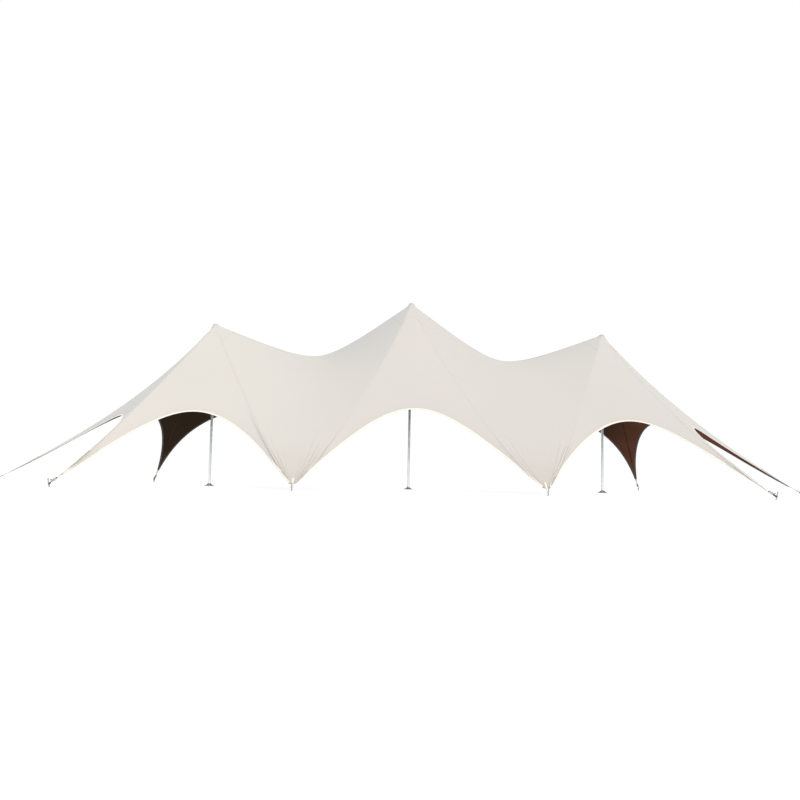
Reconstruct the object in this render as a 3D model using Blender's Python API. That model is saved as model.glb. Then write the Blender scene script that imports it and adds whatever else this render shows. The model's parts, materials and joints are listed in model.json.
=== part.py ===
"""Three-peak stretch tent: a tensioned canopy on three poles, tied down at eight points.

Units are metres, +Z is up and the ground is z = 0. The three poles stand in a row along X,
with the middle pole's foot at the origin. The canopy hangs free at the front, at -Y, in three
arches between four tie-down points. At the back its rim is one long arch between two points,
and one more point at each end, on the row of poles, draws the ends out.

The canopy is shaped in two steps. Its rims and its crest, from peak to peak, follow formulas
with a few named heights and depths. The cloth between them is laid out in plan on straight lines
from the peaks. Its heights then settle as a membrane of even pull does, with stronger lines
along the ridges from each peak down to its tie-down points.
"""

import math
from typing import NamedTuple

import bmesh
import bpy
import numpy as np
from mathutils import Vector


class Arch(NamedTuple):
    """Shape of a rim between two tie-downs.

    The rim rises above its tie-downs, and its middle draws in towards the tent. A lean above 0
    moves its top towards the second tie-down. A roundness of 0 is a sharp V upside down, and a
    large one is near a parabola.
    """

    rise: float
    draw: float
    lean: float
    rise_round: float
    draw_round: float


# Plan of the tent
POLE_SPACING = 6.0
END_REACH = 12.31
CORNER_REACH = 8.87
INNER_REACH = 3.13
HALF_WIDTH = 4.97

# Heights of the canopy's underside
SIDE_PEAK = 4.92
CENTRE_PEAK = 5.74
CREST_LOW = 4.01
CREST_ROUND = 0.3
TIE_HEIGHT = 0.08

# Rims of the canopy
MIDDLE_ARCH = Arch(rise=2.15, draw=2.27, lean=0.00, rise_round=0.57, draw_round=2.70)
SIDE_ARCH = Arch(rise=1.96, draw=2.33, lean=0.00, rise_round=0.66, draw_round=5.28)
END_ARCH = Arch(rise=1.88, draw=2.44, lean=0.35, rise_round=0.36, draw_round=0.49)
REAR_END_ARCH = Arch(rise=2.25, draw=2.08, lean=0.45, rise_round=0.74, draw_round=1.75)
BACK_ARCH_RISE = 2.62
BACK_ARCH_DRAW = 2.70
BACK_RISE_POWER = 5.35
BACK_DRAW_POWER = 4.56

# Pull of the ridges, as the width of cloth that pulls as hard
CENTRE_RIDGE_PULL = 2.23
INNER_RIDGE_PULL = 3.92
BACK_RIDGE_PULL = 120.5
FRONT_LEFT_RIDGE_PULL = 35.0
FRONT_RIGHT_RIDGE_PULL = 9.3
LEFT_END_RIDGE_PULL = 2.94
RIGHT_END_RIDGE_PULL = 6.3

# The net and the cloth
NET_STEPS = 12
FINE_STEPS = 20
CLOTH_THICKNESS = 0.012
SEAM_GAP = 0.0003
HEAD_SEAT_RADIUS = 0.065

# Tie-down straps and stakes
STRAP_WIDTH = 0.05
STRAP_NECK = 0.6
STAKE_RADIUS = 0.016
STAKE_HEIGHT = 0.20
STAKE_LEAN = math.radians(15.0)
STAKE_HEAD_RADIUS = 0.028
STAKE_HEAD_DEPTH = 0.014
STAKE_SIDES = 12

# Poles
PLATE_RADIUS = 0.15
PLATE_THICKNESS = 0.010
SOCKET_HEIGHT = 0.080
SOCKET_WALL = 0.006
LOWER_TUBE_RADIUS = 0.038
UPPER_TUBE_RADIUS = 0.030
TUBE_WALL = 0.004
LOWER_TUBE_SHARE = 0.52
TUBE_INSERT = 0.40
COLLAR_HEIGHT = 0.05
HEAD_RADIUS = 0.048
HEAD_HEIGHT = 0.12
FIT_GAP = 0.0003
TUBE_SIDES = 20

# Named points of the net, on a lattice of half pole spacings: +X to the right, +Y to the back
LATTICE = {
    "left_end": (-4, 0),
    "front_left": (-3, -1),
    "front_inner_left": (-1, -1),
    "front_inner_right": (1, -1),
    "front_right": (3, -1),
    "right_end": (4, 0),
    "back_right": (3, 1),
    "back_rim_right": (1, 1),
    "back_rim_left": (-1, 1),
    "back_left": (-3, 1),
    "left_peak": (-2, 0),
    "centre_peak": (0, 0),
    "right_peak": (2, 0),
}
PEAKS = ("left_peak", "centre_peak", "right_peak")
TIES = (
    "left_end",
    "front_left",
    "front_inner_left",
    "front_inner_right",
    "front_right",
    "right_end",
    "back_right",
    "back_left",
)

# Each panel of cloth is a triangle of the net, its corners counter-clockwise from above
PANELS = {
    "canopy_left_end_front": ("left_end", "front_left", "left_peak"),
    "canopy_front_left": ("front_left", "front_inner_left", "left_peak"),
    "canopy_front_left_bay": ("front_inner_left", "centre_peak", "left_peak"),
    "canopy_front_middle": ("front_inner_left", "front_inner_right", "centre_peak"),
    "canopy_front_right_bay": ("front_inner_right", "right_peak", "centre_peak"),
    "canopy_front_right": ("front_inner_right", "front_right", "right_peak"),
    "canopy_right_end_front": ("front_right", "right_end", "right_peak"),
    "canopy_right_end_back": ("right_end", "back_right", "right_peak"),
    "canopy_back_right": ("back_right", "back_rim_right", "right_peak"),
    "canopy_back_right_bay": ("back_rim_right", "centre_peak", "right_peak"),
    "canopy_back_middle": ("back_rim_right", "back_rim_left", "centre_peak"),
    "canopy_back_left_bay": ("back_rim_left", "left_peak", "centre_peak"),
    "canopy_back_left": ("back_rim_left", "back_left", "left_peak"),
    "canopy_left_end_back": ("back_left", "left_end", "left_peak"),
}

# Ridges that carry more pull than the cloth
RIDGES = {
    ("left_peak", "front_left"): FRONT_LEFT_RIDGE_PULL,
    ("right_peak", "front_right"): FRONT_RIGHT_RIDGE_PULL,
    ("left_peak", "back_left"): BACK_RIDGE_PULL,
    ("right_peak", "back_right"): BACK_RIDGE_PULL,
    ("left_peak", "left_end"): LEFT_END_RIDGE_PULL,
    ("right_peak", "right_end"): RIGHT_END_RIDGE_PULL,
    ("left_peak", "front_inner_left"): INNER_RIDGE_PULL,
    ("centre_peak", "front_inner_left"): CENTRE_RIDGE_PULL,
    ("centre_peak", "front_inner_right"): CENTRE_RIDGE_PULL,
    ("right_peak", "front_inner_right"): INNER_RIDGE_PULL,
}


def remove_old_objects():
    """Start from an empty scene."""
    for old in list(bpy.data.objects):
        bpy.data.objects.remove(old, do_unlink=True)


def make_material(name, colour, roughness, metallic=0.0):
    """A plain Principled material."""
    material = bpy.data.materials.new(name)
    material.use_nodes = True
    shader = material.node_tree.nodes["Principled BSDF"]
    shader.inputs["Base Color"].default_value = (*colour, 1.0)
    shader.inputs["Roughness"].default_value = roughness
    shader.inputs["Metallic"].default_value = metallic
    material.diffuse_color = (*colour, 1.0)
    return material


def add_object(name, points, faces, material, smooth_angle=None):
    """One named object from points in world space and faces that point outwards."""
    mesh = bpy.data.meshes.new(name)
    mesh.from_pydata([tuple(point) for point in points], [], faces)
    mesh.validate()
    mesh.materials.append(material)
    if smooth_angle is not None:
        mesh.shade_smooth()
        mesh.set_sharp_from_angle(angle=smooth_angle)
    new_object = bpy.data.objects.new(name, mesh)
    bpy.context.scene.collection.objects.link(new_object)
    return new_object


# The canopy's lines


def rounded_v(across, roundness):
    """0 in the middle and 1 at both ends: straight sides joined by a rounded bottom."""
    reach = math.sqrt(1.0 + roundness**2) - roundness
    return (math.sqrt(across**2 + roundness**2) - roundness) / reach


def named_points():
    """World positions of the tie-down points and the peaks."""
    return {
        "left_end": Vector((-END_REACH, 0.0, TIE_HEIGHT)),
        "front_left": Vector((-CORNER_REACH, -HALF_WIDTH, TIE_HEIGHT)),
        "front_inner_left": Vector((-INNER_REACH, -HALF_WIDTH, TIE_HEIGHT)),
        "front_inner_right": Vector((INNER_REACH, -HALF_WIDTH, TIE_HEIGHT)),
        "front_right": Vector((CORNER_REACH, -HALF_WIDTH, TIE_HEIGHT)),
        "right_end": Vector((END_REACH, 0.0, TIE_HEIGHT)),
        "back_right": Vector((CORNER_REACH, HALF_WIDTH, TIE_HEIGHT)),
        "back_left": Vector((-CORNER_REACH, HALF_WIDTH, TIE_HEIGHT)),
        "left_peak": Vector((-POLE_SPACING, 0.0, SIDE_PEAK)),
        "centre_peak": Vector((0.0, 0.0, CENTRE_PEAK)),
        "right_peak": Vector((POLE_SPACING, 0.0, SIDE_PEAK)),
    }


def even_steps(curve, steps):
    """Points at equal distances along a curve, given as a function of a share from 0 to 1."""
    fine = np.array([curve(share) for share in np.linspace(0.0, 1.0, FINE_STEPS * steps + 1)])
    lengths = np.linalg.norm(np.diff(fine, axis=0), axis=1)
    travelled = np.concatenate([[0.0], np.cumsum(lengths)])
    stops = np.linspace(0.0, travelled[-1], steps + 1)
    return np.column_stack([np.interp(stops, travelled, fine[:, axis]) for axis in range(3)])


def rim_arch(start, end, arch):
    """Points of a rim that rises between two tie-downs and draws in towards the tent."""
    along = end - start
    inward = Vector((-along.y, along.x, 0.0)).normalized()
    if inward.dot(-(start + end)) < 0.0:
        inward = -inward

    def curve(share):
        moved = share - arch.lean * share * (1.0 - share)
        across = abs(2.0 * moved - 1.0)
        drawn_in = arch.draw * (1.0 - rounded_v(across, arch.draw_round))
        point = start + along * share + inward * drawn_in
        point.z = TIE_HEIGHT + arch.rise * (1.0 - rounded_v(across, arch.rise_round))
        return point

    return even_steps(curve, NET_STEPS)


def back_rim(start, end):
    """Points of the long back rim, three nets wide: steep at its ends and nearly level between."""

    def curve(share):
        across = abs(2.0 * share - 1.0)
        point = start.lerp(end, share)
        point.y -= BACK_ARCH_DRAW * (1.0 - across**BACK_DRAW_POWER)
        point.z = TIE_HEIGHT + BACK_ARCH_RISE * (1.0 - across**BACK_RISE_POWER)
        return point

    return even_steps(curve, 3 * NET_STEPS)


def crest(start, end):
    """Points of the crest between two peaks: two slopes and a rounded low point."""
    points = []
    for step in range(NET_STEPS + 1):
        share = step / NET_STEPS
        peak = start if share <= 0.5 else end
        point = start.lerp(end, share)
        point.z = CREST_LOW + (peak.z - CREST_LOW) * rounded_v(abs(1.0 - 2.0 * share), CREST_ROUND)
        points.append(point)
    return points


# The net


class Net:
    """The nodes and triangles of the canopy, and their places in space."""

    def __init__(self):
        self.index = {}
        self.triangles = {name: [] for name in PANELS}
        for name, corners in PANELS.items():
            self.add_panel(name, corners)
        self.points = np.zeros((len(self.index), 3))
        self.held = set()
        self.place_lines()
        self.lay_out()
        self.settle()
        self.normals = self.node_normals()

    def node(self, corners, counts):
        """Index of the node that is so many steps from each of the three corners."""
        place = tuple(
            sum(LATTICE[corner][axis] * count for corner, count in zip(corners, counts))
            for axis in (0, 1)
        )
        return self.index.setdefault(place, len(self.index))

    def line(self, start, end):
        """The nodes along a side of a panel."""
        return [
            self.node((start, end), (NET_STEPS - step, step))
            for step in range(NET_STEPS + 1)
        ]

    def add_panel(self, name, corners):
        """Fill a panel with small triangles, all counter-clockwise."""
        for first in range(NET_STEPS):
            for second in range(NET_STEPS - first):
                third = NET_STEPS - first - second
                here = self.node(corners, (first, second, third))
                ahead = self.node(corners, (first + 1, second, third - 1))
                beside = self.node(corners, (first, second + 1, third - 1))
                self.triangles[name].append((here, ahead, beside))
                if third > 1:
                    far = self.node(corners, (first + 1, second + 1, third - 2))
                    self.triangles[name].append((ahead, far, beside))

    def hold(self, nodes, points):
        """Fix a row of nodes in space."""
        for node, point in zip(nodes, points):
            self.points[node] = point
            self.held.add(node)

    def place_lines(self):
        """Put the rims and the crest in their places."""
        spot = named_points()
        arches = (
            ("front_inner_left", "front_inner_right", MIDDLE_ARCH),
            ("front_left", "front_inner_left", SIDE_ARCH),
            ("front_right", "front_inner_right", SIDE_ARCH),
            ("left_end", "front_left", END_ARCH),
            ("right_end", "front_right", END_ARCH),
            ("left_end", "back_left", REAR_END_ARCH),
            ("right_end", "back_right", REAR_END_ARCH),
        )
        for start, end, arch in arches:
            self.hold(self.line(start, end), rim_arch(spot[start], spot[end], arch))
        rear = back_rim(spot["back_left"], spot["back_right"])
        rear_stops = ("back_left", "back_rim_left", "back_rim_right", "back_right")
        for count, (start, end) in enumerate(zip(rear_stops, rear_stops[1:])):
            self.hold(self.line(start, end), rear[count * NET_STEPS :])
        for end in ("left_peak", "right_peak"):
            self.hold(self.line("centre_peak", end), crest(spot["centre_peak"], spot[end]))

    def lay_out(self):
        """Spread the free nodes in plan, on straight lines from a peak across each panel."""
        steps = np.arange(NET_STEPS + 1)
        for corners in PANELS.values():
            nodes = self.line(corners[0], corners[1])
            far = self.points[nodes]
            if not self.held.issuperset(nodes):
                far = far[0] + np.outer(steps / NET_STEPS, far[-1] - far[0])
            peak = self.points[self.node(corners, (0, 0, NET_STEPS))]
            for first in range(NET_STEPS + 1):
                for second in range(NET_STEPS + 1 - first):
                    node = self.node(corners, (first, second, NET_STEPS - first - second))
                    if node in self.held:
                        continue
                    outer = first + second
                    place = NET_STEPS * second / outer
                    spot = np.array([np.interp(place, steps, far[:, axis]) for axis in range(3)])
                    self.points[node] = peak + (spot - peak) * outer / NET_STEPS

    def settle(self):
        """Let the heights of the free nodes settle where every upward pull is in balance."""
        count = len(self.points)
        pull = np.zeros((count, count))
        for triangles in self.triangles.values():
            for one, two, three in triangles:
                for first, second, third in ((one, two, three), (two, three, one), (three, one, two)):
                    near = self.points[first] - self.points[third]
                    far = self.points[second] - self.points[third]
                    dot = near[0] * far[0] + near[1] * far[1]
                    cross = near[0] * far[1] - near[1] * far[0]
                    pull[first, second] += 0.5 * dot / cross
                    pull[second, first] += 0.5 * dot / cross
        for (start, end), strength in RIDGES.items():
            nodes = self.line(start, end)
            for first, second in zip(nodes, nodes[1:]):
                length = math.dist(self.points[first][:2], self.points[second][:2])
                pull[first, second] += strength / length
                pull[second, first] += strength / length
        balance = np.diag(pull.sum(axis=1)) - pull
        held = np.array(sorted(self.held))
        free = np.setdiff1d(np.arange(count), held)
        load = -balance[np.ix_(free, held)] @ self.points[held, 2]
        self.points[free, 2] = np.linalg.solve(balance[np.ix_(free, free)], load)

    def node_normals(self):
        """Unit normals of the cloth at its nodes."""
        normals = np.zeros_like(self.points)
        for triangles in self.triangles.values():
            for corners in triangles:
                first, second, third = (self.points[corner] for corner in corners)
                across = np.cross(second - first, third - first)
                for corner in corners:
                    normals[corner] += across
        return normals / np.linalg.norm(normals, axis=1, keepdims=True)

    def add_node(self, point, normal):
        """One more node, outside the net of cloth, such as on a strap."""
        self.points = np.vstack([self.points, np.array(point)])
        self.normals = np.vstack([self.normals, np.array(normal)])
        return len(self.points) - 1

    def ring(self, name):
        """The nodes one step from a named point, in order around it."""
        centre = self.index[tuple(axis * NET_STEPS for axis in LATTICE[name])]
        follows = {}
        for triangles in self.triangles.values():
            for corners in triangles:
                if centre in corners:
                    place = corners.index(centre)
                    follows[corners[(place + 1) % 3]] = corners[(place + 2) % 3]
        starts = [node for node in follows if node not in follows.values()]
        order = [starts[0] if starts else min(follows)]
        while order[-1] in follows and follows[order[-1]] != order[0]:
            order.append(follows[order[-1]])
        return centre, order


# Thick pieces of cloth and webbing


def patch_around_peak(net, name):
    """Triangles of the doubled cloth over a pole head: a flat seat and the slopes around it."""
    centre, ring = net.ring(name)
    leftmost = min(range(len(ring)), key=lambda place: net.points[ring[place]][0])
    ring = ring[leftmost:] + ring[:leftmost]
    top = net.points[centre] + np.array([0.0, 0.0, CLOTH_THICKNESS / 2.0])
    upright = (0.0, 0.0, 1.0)
    seat = []
    for place in range(len(ring)):
        angle = math.pi + 2.0 * math.pi * place / len(ring)
        away = np.array([math.cos(angle), math.sin(angle), 0.0])
        seat.append(net.add_node(top + away * HEAD_SEAT_RADIUS, upright))
    middle = net.add_node(top, upright)
    triangles = []
    for place, node in enumerate(ring):
        after = (place + 1) % len(ring)
        triangles.append((node, ring[after], seat[after]))
        triangles.append((node, seat[after], seat[place]))
        triangles.append((seat[place], seat[after], middle))
    return triangles


def tie_direction(net, name):
    """Where a tie-down pulls: a level unit vector out of the tent."""
    centre, ring = net.ring(name)
    outward = net.points[centre] - net.points[ring].mean(axis=0)
    outward[2] = 0.0
    return outward / np.linalg.norm(outward)


def stake_axis(outward):
    """Unit vector up a stake, which leans away from the tent."""
    return outward * math.sin(STAKE_LEAN) + np.array([0.0, 0.0, math.cos(STAKE_LEAN)])


def strap_at_tie(net, name):
    """Triangles of the webbing corner that narrows to the strap down to the stake."""
    centre, ring = net.ring(name)
    outward = tie_direction(net, name)
    tie = net.points[centre].copy()
    root = net.points[ring].mean(axis=0)
    sideways = np.cross(outward, np.array([0.0, 0.0, 1.0]))
    if np.dot(net.points[ring[-1]] - net.points[ring[0]], sideways) < 0.0:
        sideways = -sideways
    run = tie - root
    neck_normal = np.cross(run, sideways)
    neck_normal = neck_normal / np.linalg.norm(neck_normal)
    if neck_normal[2] < 0.0:
        neck_normal = -neck_normal
    sections = [ring]
    for middle, normal in ((root + run * STRAP_NECK, neck_normal), (tie, stake_axis(outward))):
        places = np.linspace(-0.5, 0.5, len(ring)) * STRAP_WIDTH
        sections.append([net.add_node(middle + sideways * place, normal) for place in places])
    triangles = []
    for near, far in zip(sections, sections[1:]):
        for place in range(len(ring) - 1):
            triangles.append((near[place], far[place], far[place + 1]))
            triangles.append((near[place], far[place + 1], near[place + 1]))
    first, second, third = (net.points[corner] for corner in triangles[0])
    if np.cross(second - first, third - first)[2] < 0.0:
        triangles = [(one, three, two) for one, two, three in triangles]
    return triangles


def rim_edges(triangles):
    """Directed edges of a patch that no other triangle of it shares."""
    edges = set()
    for corners in triangles:
        for first, second in zip(corners, corners[1:] + corners[:1]):
            edges.add((first, second))
    return [(first, second) for first, second in edges if (second, first) not in edges]


def inset_points(net, triangles, joints):
    """How far each rim node moves in, so that pieces sewn together keep a hairline gap."""
    limits = {}
    for first, second in rim_edges(triangles):
        along = net.points[second] - net.points[first]
        inward = np.cross(net.normals[first] + net.normals[second], along)
        inward = inward / np.linalg.norm(inward)
        gap = SEAM_GAP / 2.0 if (second, first) in joints else 0.0
        for node in (first, second):
            limits.setdefault(node, []).append((inward, gap))
    moves = {}
    for node, rules in limits.items():
        directions = np.array([inward for inward, gap in rules])
        gaps = np.array([gap for inward, gap in rules])
        moves[node] = np.linalg.lstsq(directions, gaps, rcond=0.05)[0]
    return moves


def thick_piece(net, name, triangles, joints, material):
    """A closed solid of even thickness around a patch of the net."""
    moves = inset_points(net, triangles, joints)
    used = sorted({corner for corners in triangles for corner in corners})
    order = {node: place for place, node in enumerate(used)}
    half = CLOTH_THICKNESS / 2.0
    middle = [net.points[node] + moves.get(node, np.zeros(3)) for node in used]
    above = [point + net.normals[node] * half for node, point in zip(used, middle)]
    below = [point - net.normals[node] * half for node, point in zip(used, middle)]
    lower = len(used)
    faces = []
    for corners in triangles:
        one, two, three = (order[corner] for corner in corners)
        faces.append((one, two, three))
        faces.append((lower + one, lower + three, lower + two))
    for first, second in rim_edges(triangles):
        one, two = order[first], order[second]
        if first < second:
            faces.append((one, lower + one, lower + two))
            faces.append((one, lower + two, two))
        else:
            faces.append((one, lower + one, two))
            faces.append((two, lower + one, lower + two))
    return add_object(name, above + below, faces, material, math.radians(50.0))


def make_canopy(net, cloth, webbing):
    """All panels, the doubled cloth over the pole heads and the webbing corners."""
    cut_off = {net.ring(name)[0] for name in PEAKS + TIES}
    pieces = {}
    for name, triangles in net.triangles.items():
        pieces[name] = [corners for corners in triangles if not cut_off & set(corners)]
    straps = {"tie_strap_" + name: strap_at_tie(net, name) for name in TIES}
    patches = {name.replace("peak", "peak_patch"): patch_around_peak(net, name) for name in PEAKS}
    pieces.update(patches)
    pieces.update(straps)
    joints = {edge for triangles in pieces.values() for edge in rim_edges(triangles)}
    for name, triangles in pieces.items():
        thick_piece(net, name, triangles, joints, webbing if name in straps else cloth)


# Stakes


def make_stake(net, name, steel):
    """The part of a ground stake above the ground, cut level where it enters it."""
    centre, ring = net.ring(name)
    outward = tie_direction(net, name)
    axis = stake_axis(outward)
    sideways = np.cross(axis, outward)
    sideways = sideways / np.linalg.norm(sideways)
    forward = np.cross(sideways, axis)
    facet = STAKE_RADIUS * math.cos(math.pi / STAKE_SIDES)
    foot = net.points[centre] + forward * (facet + FIT_GAP)
    half_step = math.pi / STAKE_SIDES
    rings = []
    length = (STAKE_HEIGHT - foot[2]) / axis[2]
    stations = (
        (None, STAKE_RADIUS),
        (length - STAKE_HEAD_DEPTH, STAKE_RADIUS),
        (length - STAKE_HEAD_DEPTH, STAKE_HEAD_RADIUS),
        (length - STAKE_HEAD_DEPTH * 0.3, STAKE_HEAD_RADIUS),
        (length, STAKE_HEAD_RADIUS * 0.6),
    )
    for height, radius in stations:
        points = []
        for side in range(STAKE_SIDES):
            angle = 2.0 * math.pi * side / STAKE_SIDES + half_step
            point = foot + (forward * math.cos(angle) + sideways * math.sin(angle)) * radius
            rise = -point[2] / axis[2] if height is None else height
            points.append(point + axis * rise)
        rings.append(points)
    faces = []
    for level in range(len(rings) - 1):
        for side in range(STAKE_SIDES):
            after = (side + 1) % STAKE_SIDES
            faces.append(
                (
                    level * STAKE_SIDES + side,
                    level * STAKE_SIDES + after,
                    (level + 1) * STAKE_SIDES + after,
                    (level + 1) * STAKE_SIDES + side,
                )
            )
    last = (len(rings) - 1) * STAKE_SIDES
    faces.append(tuple(range(STAKE_SIDES - 1, -1, -1)))
    faces.append(tuple(last + side for side in range(STAKE_SIDES)))
    points = [point for level in rings for point in level]
    stake = add_object("stake_" + name, points, faces, steel, math.radians(40.0))
    face_outwards(stake)


def face_outwards(piece):
    """Point a closed piece's faces outwards."""
    shape = bmesh.new()
    shape.from_mesh(piece.data)
    bmesh.ops.recalc_face_normals(shape, faces=shape.faces)
    shape.to_mesh(piece.data)
    shape.free()


# Poles


def turned_piece(name, profile, material, centre):
    """A solid turned about a pole's axis from a closed profile of radius and height."""
    shape = bmesh.new()
    corners = [shape.verts.new((radius, 0.0, height)) for radius, height in profile]
    edges = [shape.edges.new(pair) for pair in zip(corners, corners[1:] + corners[:1])]
    bmesh.ops.spin(
        shape,
        geom=corners + edges,
        cent=(0.0, 0.0, 0.0),
        axis=(0.0, 0.0, 1.0),
        angle=2.0 * math.pi,
        steps=TUBE_SIDES,
        use_merge=True,
    )
    bmesh.ops.remove_doubles(shape, verts=shape.verts, dist=1e-6)
    flat_edges = [edge for edge in shape.edges if not edge.link_faces]
    bmesh.ops.delete(shape, geom=flat_edges, context="EDGES")
    bmesh.ops.recalc_face_normals(shape, faces=shape.faces)
    mesh = bpy.data.meshes.new(name)
    shape.to_mesh(mesh)
    shape.free()
    mesh.materials.append(material)
    mesh.shade_smooth()
    mesh.set_sharp_from_angle(angle=math.radians(40.0))
    piece = bpy.data.objects.new(name, mesh)
    piece.location = (centre[0], centre[1], 0.0)
    bpy.context.scene.collection.objects.link(piece)
    return piece


def make_pole(label, peak, steel, alloy, rubber):
    """Base plate, two telescoping tubes and the rounded head under the canopy."""
    top = peak.z - FIT_GAP
    head_bottom = top - HEAD_HEIGHT
    socket_inner = LOWER_TUBE_RADIUS + FIT_GAP
    socket_outer = socket_inner + SOCKET_WALL
    plate = [
        (0.0, 0.0),
        (PLATE_RADIUS, 0.0),
        (PLATE_RADIUS, PLATE_THICKNESS),
        (socket_outer, PLATE_THICKNESS),
        (socket_outer, SOCKET_HEIGHT),
        (socket_inner, SOCKET_HEIGHT),
        (socket_inner, PLATE_THICKNESS),
        (0.0, PLATE_THICKNESS),
    ]
    turned_piece(label + "_base_plate", plate, steel, peak)

    lower_bottom = PLATE_THICKNESS + FIT_GAP
    lower_top = top * LOWER_TUBE_SHARE
    lower = [
        (LOWER_TUBE_RADIUS, lower_bottom),
        (LOWER_TUBE_RADIUS, lower_top),
        (LOWER_TUBE_RADIUS - TUBE_WALL, lower_top),
        (LOWER_TUBE_RADIUS - TUBE_WALL, lower_bottom),
    ]
    turned_piece(label + "_lower_tube", lower, alloy, peak)

    upper_top = head_bottom - FIT_GAP
    collar_bottom = lower_top + FIT_GAP
    collar_top = collar_bottom + COLLAR_HEIGHT
    upper_bottom = lower_top - TUBE_INSERT
    upper = [
        (UPPER_TUBE_RADIUS, upper_bottom),
        (UPPER_TUBE_RADIUS, collar_bottom),
        (LOWER_TUBE_RADIUS, collar_bottom),
        (LOWER_TUBE_RADIUS, collar_top),
        (UPPER_TUBE_RADIUS, collar_top),
        (UPPER_TUBE_RADIUS, upper_top),
        (UPPER_TUBE_RADIUS - TUBE_WALL, upper_top),
        (UPPER_TUBE_RADIUS - TUBE_WALL, upper_bottom),
    ]
    turned_piece(label + "_upper_tube", upper, alloy, peak)

    head = [
        (0.0, head_bottom),
        (UPPER_TUBE_RADIUS + 0.006, head_bottom),
        (HEAD_RADIUS, head_bottom + 0.45 * HEAD_HEIGHT),
        (HEAD_RADIUS, head_bottom + 0.78 * HEAD_HEIGHT),
        (HEAD_RADIUS * 0.93, head_bottom + 0.92 * HEAD_HEIGHT),
        (HEAD_RADIUS * 0.75, top),
        (0.0, top),
    ]
    turned_piece(label + "_head", head, rubber, peak)


def main():
    remove_old_objects()
    cloth = make_material("cloth", (0.80, 0.76, 0.71), 0.75)
    webbing = make_material("webbing", (0.10, 0.08, 0.07), 0.8)
    steel = make_material("steel", (0.45, 0.45, 0.46), 0.4, 1.0)
    alloy = make_material("alloy", (0.72, 0.73, 0.74), 0.35, 1.0)
    rubber = make_material("rubber", (0.05, 0.05, 0.05), 0.7)
    net = Net()
    for name in TIES:
        make_stake(net, name, steel)
    for name, peak in named_points().items():
        if name in PEAKS:
            make_pole(name.replace("peak", "pole"), peak, steel, alloy, rubber)
    make_canopy(net, cloth, webbing)


main()
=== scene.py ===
"""Looks of a three-peak stretch tent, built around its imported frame.

The canopy is one sheet of cream stretch cloth with a dark brown lining. It is relaxed over three
poles as a net between its rims and its crest, and folds fan out from its tie-downs. Hems, seam
tapes, doubled patches, stitches, webbing, rings and ratchets are laid along the same net. Units
are metres, and the frame's axes hold: +X along the poles, +Y to the back, +Z up.
"""

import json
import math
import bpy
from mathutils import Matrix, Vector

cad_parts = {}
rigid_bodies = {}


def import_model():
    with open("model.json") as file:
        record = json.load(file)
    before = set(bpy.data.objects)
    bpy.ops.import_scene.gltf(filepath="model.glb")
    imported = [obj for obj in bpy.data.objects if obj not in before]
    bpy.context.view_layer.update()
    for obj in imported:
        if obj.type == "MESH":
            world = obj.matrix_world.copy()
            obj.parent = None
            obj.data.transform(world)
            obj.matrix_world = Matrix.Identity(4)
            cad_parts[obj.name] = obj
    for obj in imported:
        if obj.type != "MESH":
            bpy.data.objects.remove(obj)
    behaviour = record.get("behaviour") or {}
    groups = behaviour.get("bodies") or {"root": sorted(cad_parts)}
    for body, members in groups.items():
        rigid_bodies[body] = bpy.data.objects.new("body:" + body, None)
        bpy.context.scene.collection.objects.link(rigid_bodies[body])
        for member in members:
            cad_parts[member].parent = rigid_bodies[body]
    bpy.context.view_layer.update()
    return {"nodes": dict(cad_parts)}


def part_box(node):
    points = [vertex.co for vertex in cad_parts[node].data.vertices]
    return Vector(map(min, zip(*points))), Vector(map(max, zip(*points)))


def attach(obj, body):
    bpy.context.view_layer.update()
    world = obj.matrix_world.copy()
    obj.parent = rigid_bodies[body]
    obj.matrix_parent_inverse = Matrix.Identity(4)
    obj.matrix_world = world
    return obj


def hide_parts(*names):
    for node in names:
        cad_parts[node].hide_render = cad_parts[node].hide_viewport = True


bl_info = {
    "name": "Stretch Tent",
    "version": (1, 0, 0),
    "blender": (4, 5, 0),
    "location": "View3D > Sidebar > Tent",
    "description": "Builds a three-peak stretch tent around its packed frame",
    "category": "Add Mesh",
}

from functools import cache, cached_property

import bmesh
import bpy
import numpy as np
from bpy.props import FloatProperty, FloatVectorProperty, IntProperty, PointerProperty
from mathutils import Matrix, Vector, kdtree

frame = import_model()
BODY = "root"
UP = (0.0, 0.0, 1.0)

# Named points of the net, on a lattice of half pole spacings: +X to the right, +Y to the back
LATTICE = {
    "left_end": (-4, 0),
    "front_left": (-3, -1),
    "front_inner_left": (-1, -1),
    "front_inner_right": (1, -1),
    "front_right": (3, -1),
    "right_end": (4, 0),
    "back_right": (3, 1),
    "back_rim_right": (1, 1),
    "back_rim_left": (-1, 1),
    "back_left": (-3, 1),
    "left_peak": (-2, 0),
    "centre_peak": (0, 0),
    "right_peak": (2, 0),
}
PEAKS = ("left_peak", "centre_peak", "right_peak")
LEGS = ("left_end", "front_left", "front_right", "right_end", "back_right", "back_left")
INNER_TIES = ("front_inner_left", "front_inner_right")
TIES = LEGS + INNER_TIES

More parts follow.
